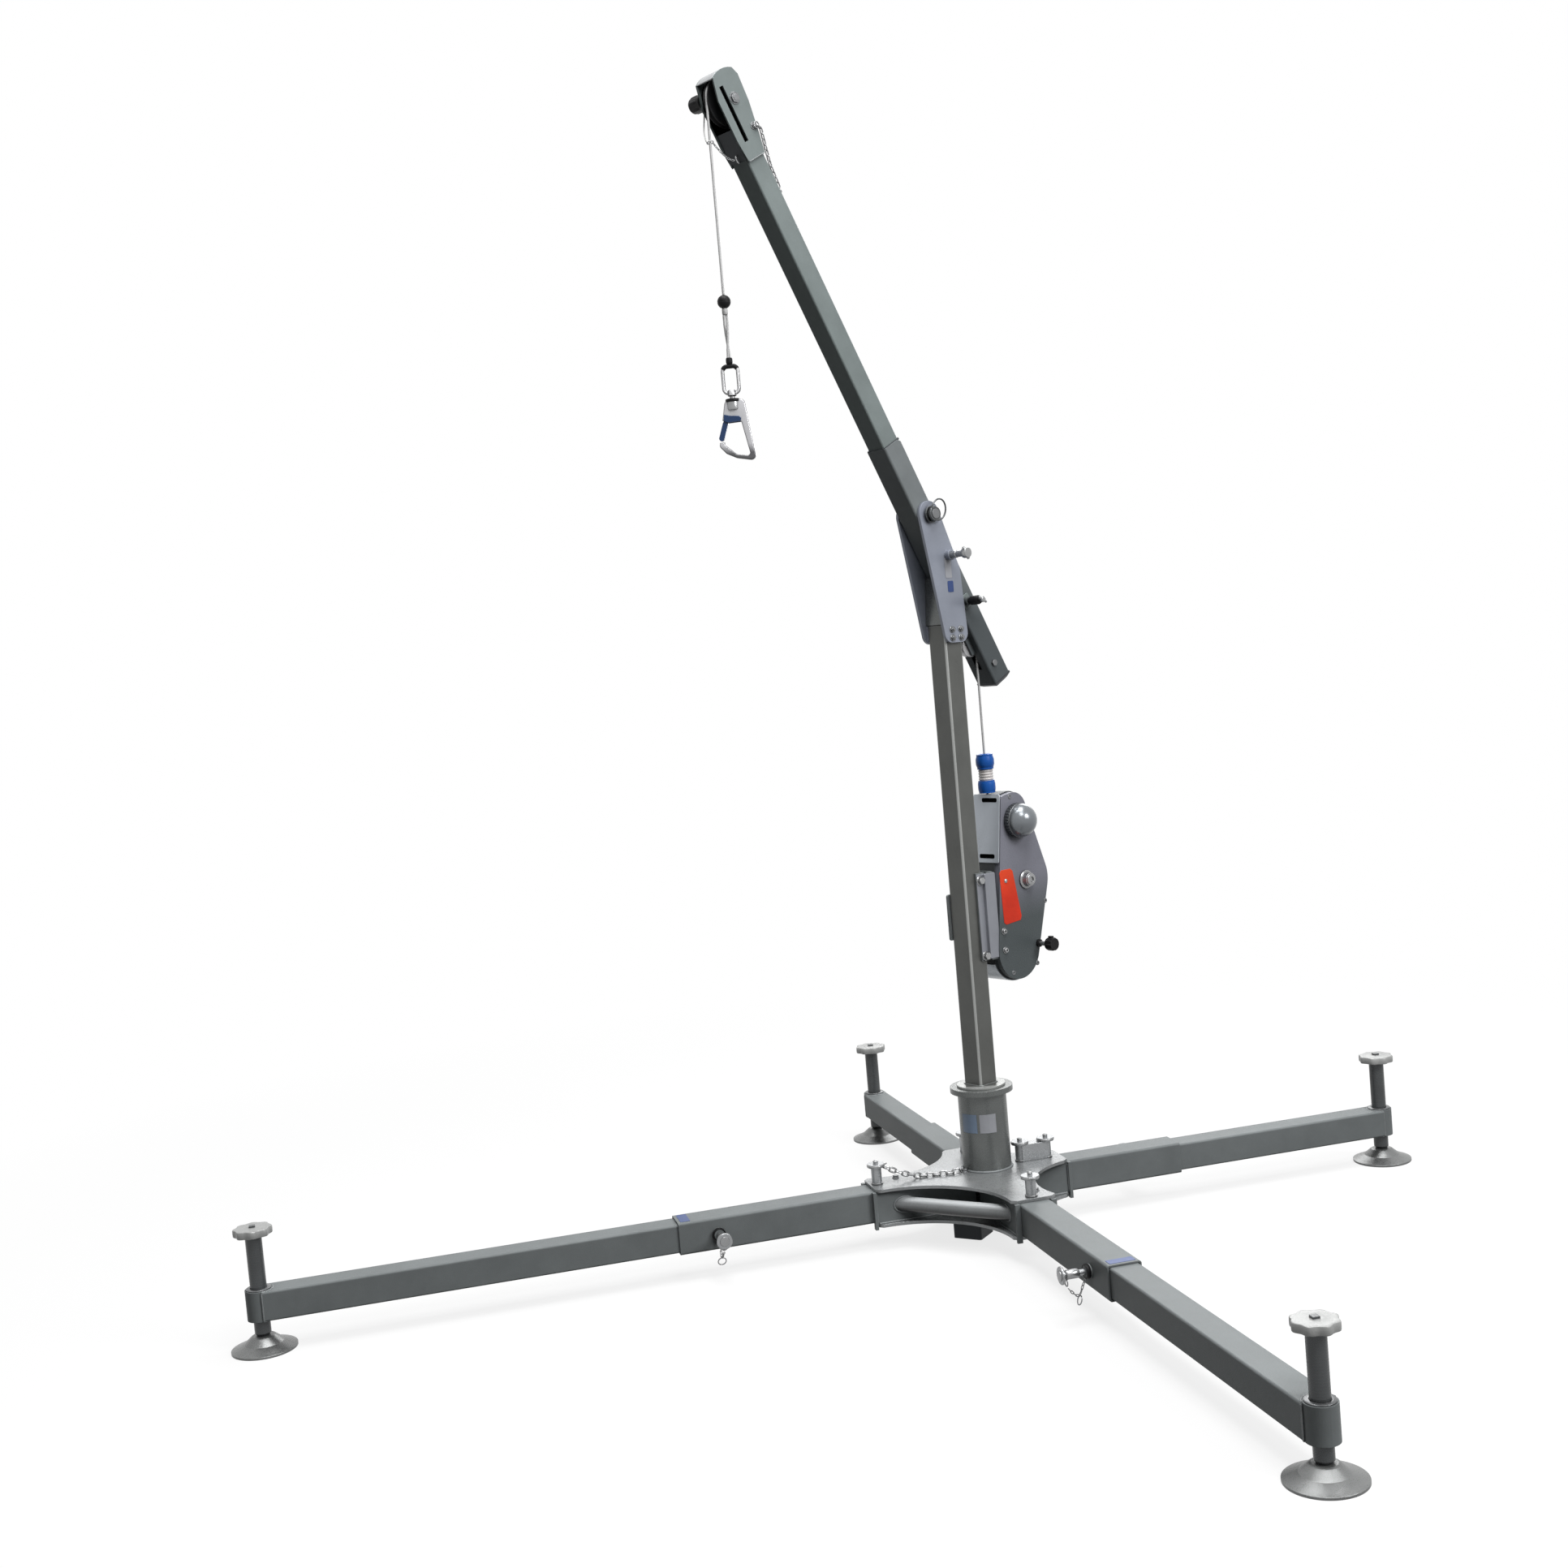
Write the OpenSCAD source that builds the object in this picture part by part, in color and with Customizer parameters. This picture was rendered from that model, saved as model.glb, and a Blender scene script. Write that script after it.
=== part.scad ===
// Portable davit crane: a cross base with four telescopic legs on screw jacks, a swivelling square mast,
// a luffing telescopic boom and a lifeline block whose cable runs through the boom to a hook.
// All lengths are in millimetres. X runs along the boom, Z is up and the pads stand on Z = 0.

/* [Base] */
// Angle from the boom to the front of the base
base_turn = 19.5; // [0:0.5:40]
// Reach of the front left leg, from the mast axis to the middle of its pad
reach_fl = 1815; // [1600:5:1900]
// Reach of the front right leg
reach_fr = 1615; // [1450:5:1800]
// Reach of the rear right leg
reach_br = 1135; // [950:5:1250]
// Reach of the rear left leg
reach_bl = 985; // [860:5:1100]
// Outer end of the outer tube of a front leg
front_tube_end = 822; // [740:2:900]
// Outer end of the outer tube of a rear leg
rear_tube_end = 521; // [480:1:600]
// Outside width of the outer leg tubes
leg_w = 80; // [70:1:90]
// Wall of the leg tubes
leg_wall = 4; // [3:0.5:5]
// Length of inner tube that stays inside the outer one
leg_lap_front = 200; // [170:5:240]
// The same on a rear leg
leg_lap_rear = 160; // [140:5:180]
// Height of the axis of the legs
leg_z = 108; // [100:1:120]
// Length of a front arm of the hub
front_arm = 318; // [290:2:340]
// Length of a rear arm of the hub
rear_arm = 200; // [190:2:220]
// Thickness of the hub plates
plate_t = 8; // [6:1:12]
// Thickness of the cheeks of an arm
cheek_t = 6; // [4:1:8]
// Depth of the hollow in the front edge of the hub plates
front_dent = 76; // [50:1:85]
// Depth of the hollow in the side edges
side_dent = 60; // [30:1:70]
// Depth of the hollow in the rear edge
rear_dent = 46; // [20:1:50]
// Diameter of the brace between the front arms
brace_d = 38; // [25:1:48]
// Outside width of the skid box under the hub
skid_w = 76; // [60:1:90]

/* [Pins] */
// Distance of the front hub pins from the mast axis
front_pin_r = 298; // [270:1:302]
// Distance of the outer pin of a rear twin pin
rear_pin_r = 163; // [155:1:180]
// Distance of the inner pin of a rear twin pin
twin_pin_r = 92; // [90:1:96]
// Diameter of the hub pins where they pass through the plates
hub_pin_d = 20; // [14:1:24]
// Height of a hub pin's head above the top plate
hub_pin_h = 54; // [40:1:70]
// Diameter of the leg lock pins
lock_pin_d = 14; // [10:1:18]
// Distance from a leg lock pin to the end of its outer tube
lock_from_end = 98; // [80:1:110]

/* [Jacks] */
// Diameter of the foot pads
pad_d = 152; // [120:2:200]
// Diameter of the jack screws
screw_d = 38; // [28:1:42]
// Outside diameter of the jack sleeves
jack_sleeve_d = 64; // [56:1:72]
// Height of the middle of the star wheel
wheel_z = 281; // [250:1:300]
// Diameter of the star wheel over its lobes
wheel_d = 86; // [70:1:110]

/* [Mast] */
// Outside diameter of the swivel sleeve
sleeve_d = 124; // [120:1:134]
// Height of the top of the sleeve's flange
sleeve_top = 369; // [320:1:420]
// Diameter of the sleeve's flange
flange_d = 160; // [146:1:180]
// Outside width of the square mast tube
mast_w = 60; // [54:1:64]
// Wall of the mast tube
mast_wall = 4; // [3:0.5:6]
// Height of the top of the mast tube
mast_top = 1548; // [1530:1:1552]
// Diameter of the journals that turn in the sleeve
journal_d = 100; // [94:1:102]

/* [Boom] */
// Angle of the boom above the horizontal at rest
boom_angle = 61.5; // [60:0.1:63]
// Distance of the luffing pivot in front of the mast axis
pivot_x = 62; // [58:1:66]
// Height of the luffing pivot
pivot_z = 1822; // [1815:1:1840]
// Distance from the pivot down to the tail end
tail_len = 488; // [470:1:500]
// Distance from the pivot up to the end of the outer boom tube
outer_len = 201; // [160:1:240]
// Outside width of the inner boom tube
inner_w = 56; // [50:1:56]
// Wall of the inner boom tube
inner_wall = 3.5; // [2.5:0.5:4]
// Distance from the pivot up to the end of the inner boom tube
inner_end = 968; // [950:1:974]
// Lower end of the inner boom tube, measured down from the pivot
inner_tail = 310; // [290:1:318]
// Offset of the boom's axis from the pivot, towards its underside
axis_drop = 2; // [1:0.5:3]
// Thickness of the plates at the head of the mast
head_plate_t = 8; // [6:1:10]
// Radius of the cable on the head pulley
head_pulley_r = 56; // [50:1:57]
// Radius of the cable on the tail pulley
tail_pulley_r = 26; // [24:1:27]

/* [Lifeline block] */
// Thickness of the block's case
case_t = 94; // [80:1:104]
// Wall of the case
case_wall = 6; // [4:1:8]
// Radius of the cable on the drum
drum_r = 67; // [60:1:68]
// Diameter of the domed hand knob
dome_d = 87; // [60:1:96]

/* [Cable and hook] */
// Diameter of the cable
cable_d = 6; // [4:0.5:7]
// Diameter of the stop ball
ball_d = 31; // [24:1:40]
// Width of the snap hook
hook_w = 82; // [70:1:90]
// Height of the snap hook
hook_h = 141; // [130:1:150]
// Thickness of the snap hook
hook_t = 14; // [10:1:18]

/* [Hidden] */

$fn = 48;
fit = 0.3;
slide_fit = 1;
weld_gap = 0.5;
sides = 8;

FL = 0;
FR = 1;
BR = 2;
BL = 3;
leg_turn = [-45, 45, 135, 225];
reach = [reach_fl, reach_fr, reach_br, reach_bl];
tube_end = [front_tube_end, front_tube_end, rear_tube_end, rear_tube_end];
leg_lap = [leg_lap_front, leg_lap_front, leg_lap_rear, leg_lap_rear];
arm_len = [front_arm, front_arm, rear_arm, rear_arm];
pin_rows = [[front_pin_r], [front_pin_r], [rear_pin_r, twin_pin_r], [rear_pin_r, twin_pin_r]];
pin_side = [1, -1, 1, -1];

pad_at = [for (k = [FL:BL]) reach[k] * [cos(base_turn + leg_turn[k]), sin(base_turn + leg_turn[k])]];
mast_x = -(max([for (p = pad_at) p.x]) + min([for (p = pad_at) p.x])) / 2;
mast_y = -(max([for (p = pad_at) p.y]) + min([for (p = pad_at) p.y])) / 2;

inner_leg_w = leg_w - 2 * leg_wall - 2 * slide_fit;
plate_gap = leg_w + 2 * weld_gap;
bottom_plate_top = leg_z - plate_gap / 2;
top_plate_bottom = leg_z + plate_gap / 2;
hub_top = top_plate_bottom + plate_t;
cheek_in = leg_w / 2 + weld_gap;
cheek_out = cheek_in + cheek_t;
arm_half = cheek_out + 11;
tip_cut = 12;
arm_root = 54;
tube_root = 62;
frame_t = 8;
frame_side = cheek_out + 7;
frame_drop = plate_t + 5;
brace_x = 205;
skid_x = 112;
skid_bottom = 12;
lock_boss_d = 26;
lock_boss_h = 12;
lock_stem = 52;

jack_z0 = leg_z - inner_leg_w / 2 - 0.5;
jack_z1 = leg_z + inner_leg_w / 2 + 0.5;
screw_tip_d = 24;
pad_socket_z = 18;
pad_top = 34;
pad_rim = 5;
wheel_t = 17;
wheel_lobes = 8;
lobe_r = 15;

sleeve_bore = sleeve_d - 12;
flange_t = 14;
journal_h = 42;
thrust_t = 10;
journal_z0 = hub_top + thrust_t + fit;
journal_z1 = sleeve_top - journal_h - fit;
collar_t = 5;
plate_in = mast_w / 2 + 4;
plate_out = plate_in + head_plate_t;
plate_bottom = 1502;
bolt_rows = [1514, 1535];
bolt_x = 15;
plate_knee = [-4, 1680];
plate_toe = [[-16, plate_bottom + 24, 24], [16, plate_bottom + 24, 24]];

outer_half = plate_in - slide_fit;
outer_wall = 4;
cavity_half = outer_half - outer_wall;
inner_half = inner_w / 2;
inner_lo = -axis_drop - inner_half;
inner_hi = -axis_drop + inner_half;
cavity_lo = inner_lo - 0.5;
cavity_hi = inner_hi + 0.5;
outer_lo = cavity_lo - 2.5;
outer_hi = cavity_hi + 2.5;
tail_cap_t = 14;
tail_wheel = [-360, -32];
tail_axle_d = 10;
tail_bolt = [-427, -9];
tail_slot = 72;
lug_in = 9;
lug_out = 13;
plunger_at = [-115, -2];
extension_at = [-246, -5];
pivot_d = 24;

head_at = [1076, 12];
roller_at = [1003, 29];
roller_r = 8;
axle_d = 14;
cheek_plate_t = 4;
cheek_r = 69;
cheek_foot = 940;
cheek_front = -36;
cheek_rear = 53;
hood_t = 3;
hood_from = -29;
hood_to = 28;
keeper_at = [1098, -19];
slot_x = [981, 1112];
slot_z = [-16, -4];

tail_mid = from_boom(tail_wheel);
cable_x = tail_mid.x - tail_pulley_r;
case_top = [-150, 1060, 50];
case_drum = [cable_x - drum_r, 878, 88];
case_foot = [-132, 700, 78];
case_lip = [-114, 1092, 12];
dome_at = [-154, 1034];
split_y = 30;

case_cut = -58;
bracket_z0 = 690;
bracket_z1 = 915;
bracket_rows = [703, 896];
bumper_d = 42;
bumper_rows = [case_top.y + case_top.z + 0.5, 1172];
bumper_h = [32, 38];
selector_at = [-205, 706];

ball_z = 2319;
splice_z = [2304, 2186];
eye_z = [2178, 2108];
hook_top = 2099;
eye_w = 43;
hook_turn = -45;
gate_hinge = [17, -41];
gate_end = [32, 54 - hook_h];
nose_z = gate_end.y - 9.3;
bow_outer = [[8, -13, 12], [-17, -13, 12], [9 - hook_w / 2, 11 - hook_h, 11], [hook_w / 2 - 12, 38 - hook_h, 9]];
bow_inner = [[-8, -58, 9], [8, -58, 9], [17 - hook_w / 2, 18 - hook_h, 6], [hook_w / 2 - 21, 41 - hook_h, 5]];
gate_pin_d = 4;
tongue_t = 6;

function turned(p, a) = [p.x * cos(a) - p.y * sin(a), p.x * sin(a) + p.y * cos(a)];
function arc(c, r, a0, a1, n) = [for (i = [0:n]) let (a = a0 + i * (a1 - a0) / n) c + r * [cos(a), sin(a)]];
function from_boom(p) = [pivot_x, pivot_z] + turned(p, boom_angle);

// The cable runs up from the block, round the tail pulley, through the boom, under the guide roller,
// over the head pulley and down. Each route is a list of points in the plane of the boom.
rope_r = cable_d / 2;
guide_r = roller_r + rope_r + fit;
head_mid = from_boom(head_at);
drop_x = head_mid.x + head_pulley_r;
tail_way = atan2(roller_at.y - guide_r - tail_wheel.y - tail_pulley_r, roller_at.x - tail_wheel.x);
head_way = head_at - roller_at;
head_angle = atan2(head_way.y, head_way.x) + asin((guide_r + head_pulley_r) / norm(head_way));
low_angle = 6.5;
part_angle = 1.6;
run_route = concat([[cable_x, case_drum.y + 5]],
    arc(tail_mid, tail_pulley_r, 180, boom_angle + tail_way + 90 + part_angle, 4));
tail_exit = tail_wheel + tail_pulley_r * [-sin(tail_way), cos(tail_way)];
roller_entry = roller_at + guide_r * [sin(tail_way), -cos(tail_way)];
boom_route = concat([for (i = [0:5]) tail_exit + i / 6 * (roller_entry - tail_exit)],
    arc(roller_at, guide_r, tail_way - 90, head_angle - 90, 4),
    arc(head_at, head_pulley_r, head_angle + 90, -low_angle, 14));
drop_foot = ball_z + ball_d / 2 + 0.5;
drop_route = concat(arc(head_mid, head_pulley_r, boom_angle - low_angle - part_angle / 2, 0, 6),
    [for (t = [0.3, 0.6, 0.85, 1]) [drop_x, head_mid.y + t * (drop_foot - head_mid.y)]]);

module on_mast() { translate([mast_x, mast_y, 0]) children(); }
module on_base() { on_mast() rotate(base_turn) children(); }
module on_leg(k) { on_base() rotate(leg_turn[k]) children(); }
module on_boom() { on_mast() translate([pivot_x, 0, pivot_z]) rotate([0, -boom_angle, 0]) children(); }
module on_hook() { on_mast() translate([drop_x, 0, hook_top]) rotate(hook_turn) children(); }

// Lays a drawing in the X and Z plane and gives it thickness along Y between two values
module slab(y0, y1) { translate([0, y1, 0]) rotate([90, 0, 0]) linear_extrude(y1 - y0) children(); }
module cross_bar(x, z, d, y0, y1) { translate([x, y1, z]) rotate([90, 0, 0]) cylinder(d = d, h = y1 - y0); }

module round_rect(w, h, r) {
    square([w - 2 * r, h], center = true);
    square([w, h - 2 * r], center = true);
    for (x = [-1, 1], y = [-1, 1]) translate([x * (w / 2 - r), y * (h / 2 - r)]) circle(r, $fn = 32);
}

module tube_section(w, h, wall, r) {
    difference() {
        round_rect(w, h, r);
        round_rect(w - 2 * wall, h - 2 * wall, max(r - wall, 1));
    }
}

// A tube along X from x0 to x1
module beam(x0, x1) { translate([x0, 0, 0]) rotate([90, 0, 90]) linear_extrude(x1 - x0) children(); }

module ring_of(d_out, d_in, h) {
    difference() {
        cylinder(d = d_out, h = h);
        translate([0, 0, -1]) cylinder(d = d_in, h = h + 2);
    }
}

function tip(k) = [for (p = [[-1, -1], [0, -1], [0, 1], [-1, 1]])
    turned([arm_len[k] + (p.x < 0 ? -tip_cut : 0), p.y * (p.x < 0 ? arm_half : arm_half - tip_cut)], leg_turn[k])];

// A circle that hollows the edge from p to q by the depth s
module dent(p, q, s) {
    half = norm(q - p) / 2;
    r = (half * half + s * s) / (2 * s);
    middle = (p + q) / 2;
    along = (q - p) / norm(q - p);
    translate(middle + [along.y, -along.x] * (r - s)) circle(r, $fn = 96);
}

module hub_outline() {
    tips = [for (k = [FL:BL]) tip(k)];
    difference() {
        polygon([for (k = [FL:BL]) each tips[k]]);
        dent(tips[FL][3], tips[FR][0], front_dent);
        dent(tips[FR][3], tips[BR][0], side_dent);
        dent(tips[BR][3], tips[BL][0], rear_dent);
        dent(tips[BL][3], tips[FL][0], side_dent);
        for (k = [FL:BL], r = pin_rows[k]) rotate(leg_turn[k]) translate([r, 0]) circle(d = hub_pin_d + 2 * fit);
    }
}

module hub_top_plate() {
    color("silver") on_base() translate([0, 0, top_plate_bottom]) linear_extrude(plate_t) hub_outline();
}

module hub_bottom_plate() {
    color("silver") on_base() translate([0, 0, bottom_plate_top - plate_t]) linear_extrude(plate_t) hub_outline();
}

// Two cheeks along each arm and the bars at its mouth
module hub_arms() {
    color("gray") for (k = [FL:BL]) on_leg(k) {
        for (s = [-1, 1]) translate([arm_root, s > 0 ? cheek_in : -cheek_out, bottom_plate_top])
            cube([arm_len[k] - arm_root, cheek_t, plate_gap]);
        for (s = [-1, 1]) translate([arm_len[k], s > 0 ? cheek_in : -frame_side, bottom_plate_top - frame_drop])
            cube([frame_t, frame_side - cheek_in, plate_gap + frame_drop]);
    }
}

module mast_sleeve() {
    color("dimgray") on_mast() difference() {
        union() {
            translate([0, 0, hub_top]) cylinder(d = sleeve_d, h = sleeve_top - hub_top, $fn = 64);
            translate([0, 0, sleeve_top - flange_t]) cylinder(d = flange_d, h = flange_t, $fn = 64);
        }
        translate([0, 0, hub_top - 1]) cylinder(d = sleeve_bore, h = sleeve_top, $fn = 64);
    }
}

// The lower bush has a floor that carries the mast
module sleeve_bushes() {
    color("ivory") on_mast() {
        translate([0, 0, hub_top]) cylinder(d = sleeve_bore, h = thrust_t);
        translate([0, 0, hub_top + thrust_t]) ring_of(sleeve_bore, journal_d + 2 * fit, journal_h);
        translate([0, 0, journal_z1]) ring_of(sleeve_bore, journal_d + 2 * fit, journal_h);
    }
}

module hub_brace() {
    reach_y = brace_x + cheek_out;
    color("silver") on_base() difference() {
        translate([brace_x, reach_y, leg_z]) rotate([90, 0, 0]) cylinder(d = brace_d, h = 2 * reach_y);
        for (k = [FL, FR]) rotate(leg_turn[k]) translate([0, -cheek_out, 0])
            cube([2 * reach_y, 2 * cheek_out, 2 * leg_z]);
    }
}

module skid_box() {
    color("dimgray") on_base() translate([skid_x, 0, skid_bottom])
        linear_extrude(bottom_plate_top - plate_t - skid_bottom) tube_section(skid_w, skid_w, leg_wall, 6);
}

module lock_bore(k, from_y, to_y, d) {
    r = tube_end[k] - lock_from_end;
    y0 = pin_side[k] > 0 ? from_y : -to_y;
    cross_bar(r, leg_z, d, y0, y0 + to_y - from_y);
}

module leg_outer_tubes() {
    color("lightslategray") for (k = [FL:BL]) on_leg(k) difference() {
        union() {
            translate([0, 0, leg_z]) beam(tube_root, tube_end[k]) tube_section(leg_w, leg_w, leg_wall, 6);
            lock_bore(k, leg_w / 2 - 1, leg_w / 2 + lock_boss_h, lock_boss_d);
        }
        translate([0, 0, leg_z]) beam(tube_root - 1, tube_end[k] + 1)
            round_rect(leg_w - 2 * leg_wall, leg_w - 2 * leg_wall, 2);
        lock_bore(k, inner_leg_w / 2, leg_w / 2 + lock_boss_h + 1, lock_pin_d + 2 * fit);
        for (r = pin_rows[k]) translate([r, 0, 0]) cylinder(d = hub_pin_d + 2 * fit, h = 2 * leg_z);
    }
}

// An inner leg tube with the threaded sleeve of its jack welded to its end
module leg_inner(k) {
    color("lightslategray") on_leg(k) difference() {
        union() {
            translate([0, 0, leg_z]) beam(tube_end[k] - leg_lap[k], reach[k] - 6)
                tube_section(inner_leg_w, inner_leg_w, leg_wall, 5);
            translate([reach[k], 0, jack_z0]) cylinder(d = jack_sleeve_d, h = jack_z1 - jack_z0);
        }
        translate([reach[k], 0, 0]) cylinder(d = screw_d + 2 * fit, h = 2 * leg_z);
        lock_bore(k, inner_leg_w / 2 - leg_wall - 1, inner_leg_w / 2 + 1, lock_pin_d + 2 * fit);
    }
}

module jack_screw(k) {
    wheel_low = wheel_z - wheel_t / 2;
    color("slategray") on_leg(k) translate([reach[k], 0, 0]) {
        translate([0, 0, pad_socket_z + fit]) cylinder(d = screw_tip_d, h = pad_top + fit - pad_socket_z);
        translate([0, 0, pad_top + fit]) cylinder(d1 = screw_tip_d + 6, d2 = screw_d, h = 6);
        translate([0, 0, pad_top + 6]) cylinder(d = screw_d, h = wheel_low - pad_top - 6);
        translate([0, 0, wheel_low]) linear_extrude(wheel_t) {
            circle(d = wheel_d - 8);
            for (i = [0:wheel_lobes - 1]) rotate(i * 360 / wheel_lobes) translate([wheel_d / 2 - lobe_r, 0])
                circle(lobe_r, $fn = 32);
        }
        translate([-7, -7, wheel_low + wheel_t - 1]) cube([14, 14, 6]);
    }
}

module foot_pad(k) {
    color("silver") on_leg(k) translate([reach[k], 0, 0]) rotate_extrude($fn = 64) polygon([[0, 0], [pad_d / 2, 0],
        [pad_d / 2, pad_rim], [pad_d / 2 - 8, pad_rim + 3], [46, 17], [28, 32], [24, pad_top],
        [screw_tip_d / 2 + fit, pad_top], [screw_tip_d / 2 + fit, pad_socket_z], [0, pad_socket_z]]);
}

// A lock pin, drawn out of the inner tube, with its disc head
module leg_pin(k) {
    nose = inner_leg_w / 2 + fit + 0.5;
    neck = leg_w / 2 + lock_boss_h + fit;
    color("silver") on_leg(k) {
        lock_bore(k, nose, neck + lock_stem, lock_pin_d);
        lock_bore(k, neck + lock_stem, neck + lock_stem + 6, 38);
    }
}

module hub_pin_stem(r) {
    nose_z = bottom_plate_top - plate_t - 6;
    head_z = hub_top + hub_pin_h - 10;
    translate([r, 0, 0]) {
        translate([0, 0, nose_z]) cylinder(d = hub_pin_d, h = head_z - nose_z);
        translate([0, 0, hub_top + fit]) cylinder(d = hub_pin_d + 6, h = hub_pin_h - 10 - fit);
        translate([0, 0, head_z]) cylinder(d = 44, h = 8);
        translate([0, 0, head_z + 8]) cylinder(d = 12, h = 5);
    }
}

// A front arm has one pin, and a rear arm a twin pin whose stems a block joins
module hub_pin(k) {
    rows = pin_rows[k];
    color("gainsboro") on_leg(k) {
        for (r = rows) hub_pin_stem(r);
        if (len(rows) > 1) translate([rows[1], -15, hub_top + fit])
            cube([rows[0] - rows[1], 30, hub_pin_h - 10 - fit]);
    }
}

module mast_tube() {
    color("gray") on_mast() difference() {
        union() {
            translate([0, 0, journal_z0]) linear_extrude(mast_top - journal_z0)
                tube_section(mast_w, mast_w, mast_wall, 6);
            for (z = [journal_z0, journal_z1]) translate([0, 0, z]) cylinder(d = journal_d, h = journal_h - fit);
            translate([0, 0, sleeve_top + fit]) cylinder(d = sleeve_d, h = collar_t);
        }
        translate([0, 0, journal_z0 - 1]) linear_extrude(mast_top)
            round_rect(mast_w - 2 * mast_wall, mast_w - 2 * mast_wall, 2);
        for (z = bolt_rows, x = [-bolt_x, bolt_x]) cross_bar(x, z, 8.4, -mast_w, mast_w);
    }
}

module head_plate_outline() {
    hull() {
        translate([pivot_x, pivot_z]) circle(34);
        translate(plate_knee) circle(26, $fn = 32);
        for (c = plate_toe) translate([c.x, c.y]) circle(c.z, $fn = 32);
    }
}

// Two plates with their packers, and the boss of the index plunger on the near one
module head_plates() {
    boss = turned(plunger_at, boom_angle);
    color("lightsteelblue") on_mast() difference() {
        union() {
            for (s = [-1, 1]) {
                slab(s > 0 ? plate_in : -plate_out, s > 0 ? plate_out : -plate_in) head_plate_outline();
                slab(s > 0 ? mast_w / 2 : -plate_in, s > 0 ? plate_in : -mast_w / 2)
                    translate([-mast_w / 2 + 1, plate_bottom + 3]) square([mast_w - 2, mast_top - plate_bottom - 3]);
            }
            cross_bar(pivot_x + boss.x, pivot_z + boss.y, 26, plate_out - 1, plate_out + 14);
        }
        cross_bar(pivot_x, pivot_z, pivot_d + 2 * fit, -plate_out - 1, plate_out + 1);
        cross_bar(pivot_x + boss.x, pivot_z + boss.y, 16 + 2 * fit, mast_w / 2, plate_out + 15);
        for (z = bolt_rows, x = [-bolt_x, bolt_x]) cross_bar(x, z, 8.4, -plate_out - 1, plate_out + 1);
    }
}

module plate_bolts() {
    color("silver") on_mast() for (z = bolt_rows, x = [-bolt_x, bolt_x]) {
        cross_bar(x, z, 8, -plate_out - 7, plate_out + 9);
        hex_head(x, z, 14, plate_out, plate_out + 6);
        hex_head(x, z, 14, -plate_out - 6, -plate_out);
    }
}

// A channel round the back of the mast that carries the block
module block_bracket() {
    side = mast_w / 2;
    color("lightgray") on_mast() {
        translate([0, 0, bracket_z0]) linear_extrude(bracket_z1 - bracket_z0) difference() {
            translate([-side - 6, -side - 5]) square([30, mast_w + 10]);
            translate([-side, -side]) square([mast_w, mast_w]);
        }
        translate([0, 0, bracket_z0]) linear_extrude(bracket_z1 - bracket_z0) difference() {
            translate([case_cut, -case_t / 2 + 5]) square([-side - 6 - case_cut, case_t - 10]);
            translate([case_cut + 4, -case_t / 2 + 9]) square([-side - 9 - case_cut, case_t - 18]);
        }
        for (z = bracket_rows, s = [-1, 1]) translate([-side + 12, s * (side + 5), z])
            rotate([-90 * s, 0, 0]) cylinder(d = 16, h = 8, $fn = 6);
    }
}

module case_outline(inset) {
    hull() for (c = [case_top, case_drum, case_foot, case_lip])
        translate([c.x, c.y]) circle(max(c.z - inset, 2));
}

module case_room() {
    translate([case_drum.x, case_drum.y]) circle(drum_r + 7);
    translate([cable_x - 9, case_drum.y]) square([14, case_lip.y - case_drum.y - 12]);
}

// The case is cut flat where it bolts to the bracket, and open above for the cable
module case_shape() {
    difference() {
        children();
        translate([case_cut, -case_t, case_foot.y - case_t]) cube([2 * case_t, 2 * case_t, case_lip.y]);
        translate([cable_x, 0, case_drum.y]) cylinder(d = cable_d + 3, h = 300);
    }
}

module block_case() {
    color("dimgray") on_mast() difference() {
        case_shape() slab(-case_t / 2, split_y) case_outline(0);
        slab(-case_t / 2 + case_wall, split_y + 1) case_room();
        cross_bar(case_drum.x, case_drum.y, 20 + 2 * fit, -case_t, 0);
    }
}

module block_cover() {
    color("gray") on_mast() difference() {
        case_shape() slab(split_y, case_t / 2) case_outline(3);
        slab(split_y - 1, split_y + 5) case_room();
        cross_bar(case_drum.x, case_drum.y, 20 + 2 * fit, 0, case_t);
        cross_bar(dome_at.x, dome_at.y, 16 + 2 * fit, split_y + 6, case_t);
        cross_bar(selector_at.x, selector_at.y, 12 + 2 * fit, split_y + 6, case_t);
    }
}

// The drum turns on its own shaft, which shows as a round cap on the near side
module cable_drum() {
    half = 20;
    core = drum_r - rope_r - fit;
    color("silver") on_mast() {
        translate([case_drum.x, 0, case_drum.y]) rotate([90, 0, 0]) rotate_extrude() polygon([[0, -half],
            [drum_r + 5, -half], [drum_r + 5, 5 - half], [core, 8 - half],
            [core, half - 8], [drum_r + 5, half - 5], [drum_r + 5, half], [0, half]]);
        cross_bar(case_drum.x, case_drum.y, 20, -case_t / 2 - 2, case_t / 2 + 4);
        cross_bar(case_drum.x, case_drum.y, 34, case_t / 2 + fit, case_t / 2 + 18);
    }
}

module hand_knob() {
    r = dome_d / 2;
    color("silver") on_mast() translate([dome_at.x, case_t / 2 + fit, dome_at.y]) rotate([-90, 0, 0]) {
        cylinder(d = dome_d, h = 16);
        translate([0, 0, 16]) intersection() {
            sphere(r);
            cylinder(r = r, h = r);
        }
        translate([0, 0, -9]) cylinder(d = 16, h = 10);
    }
}

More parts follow.
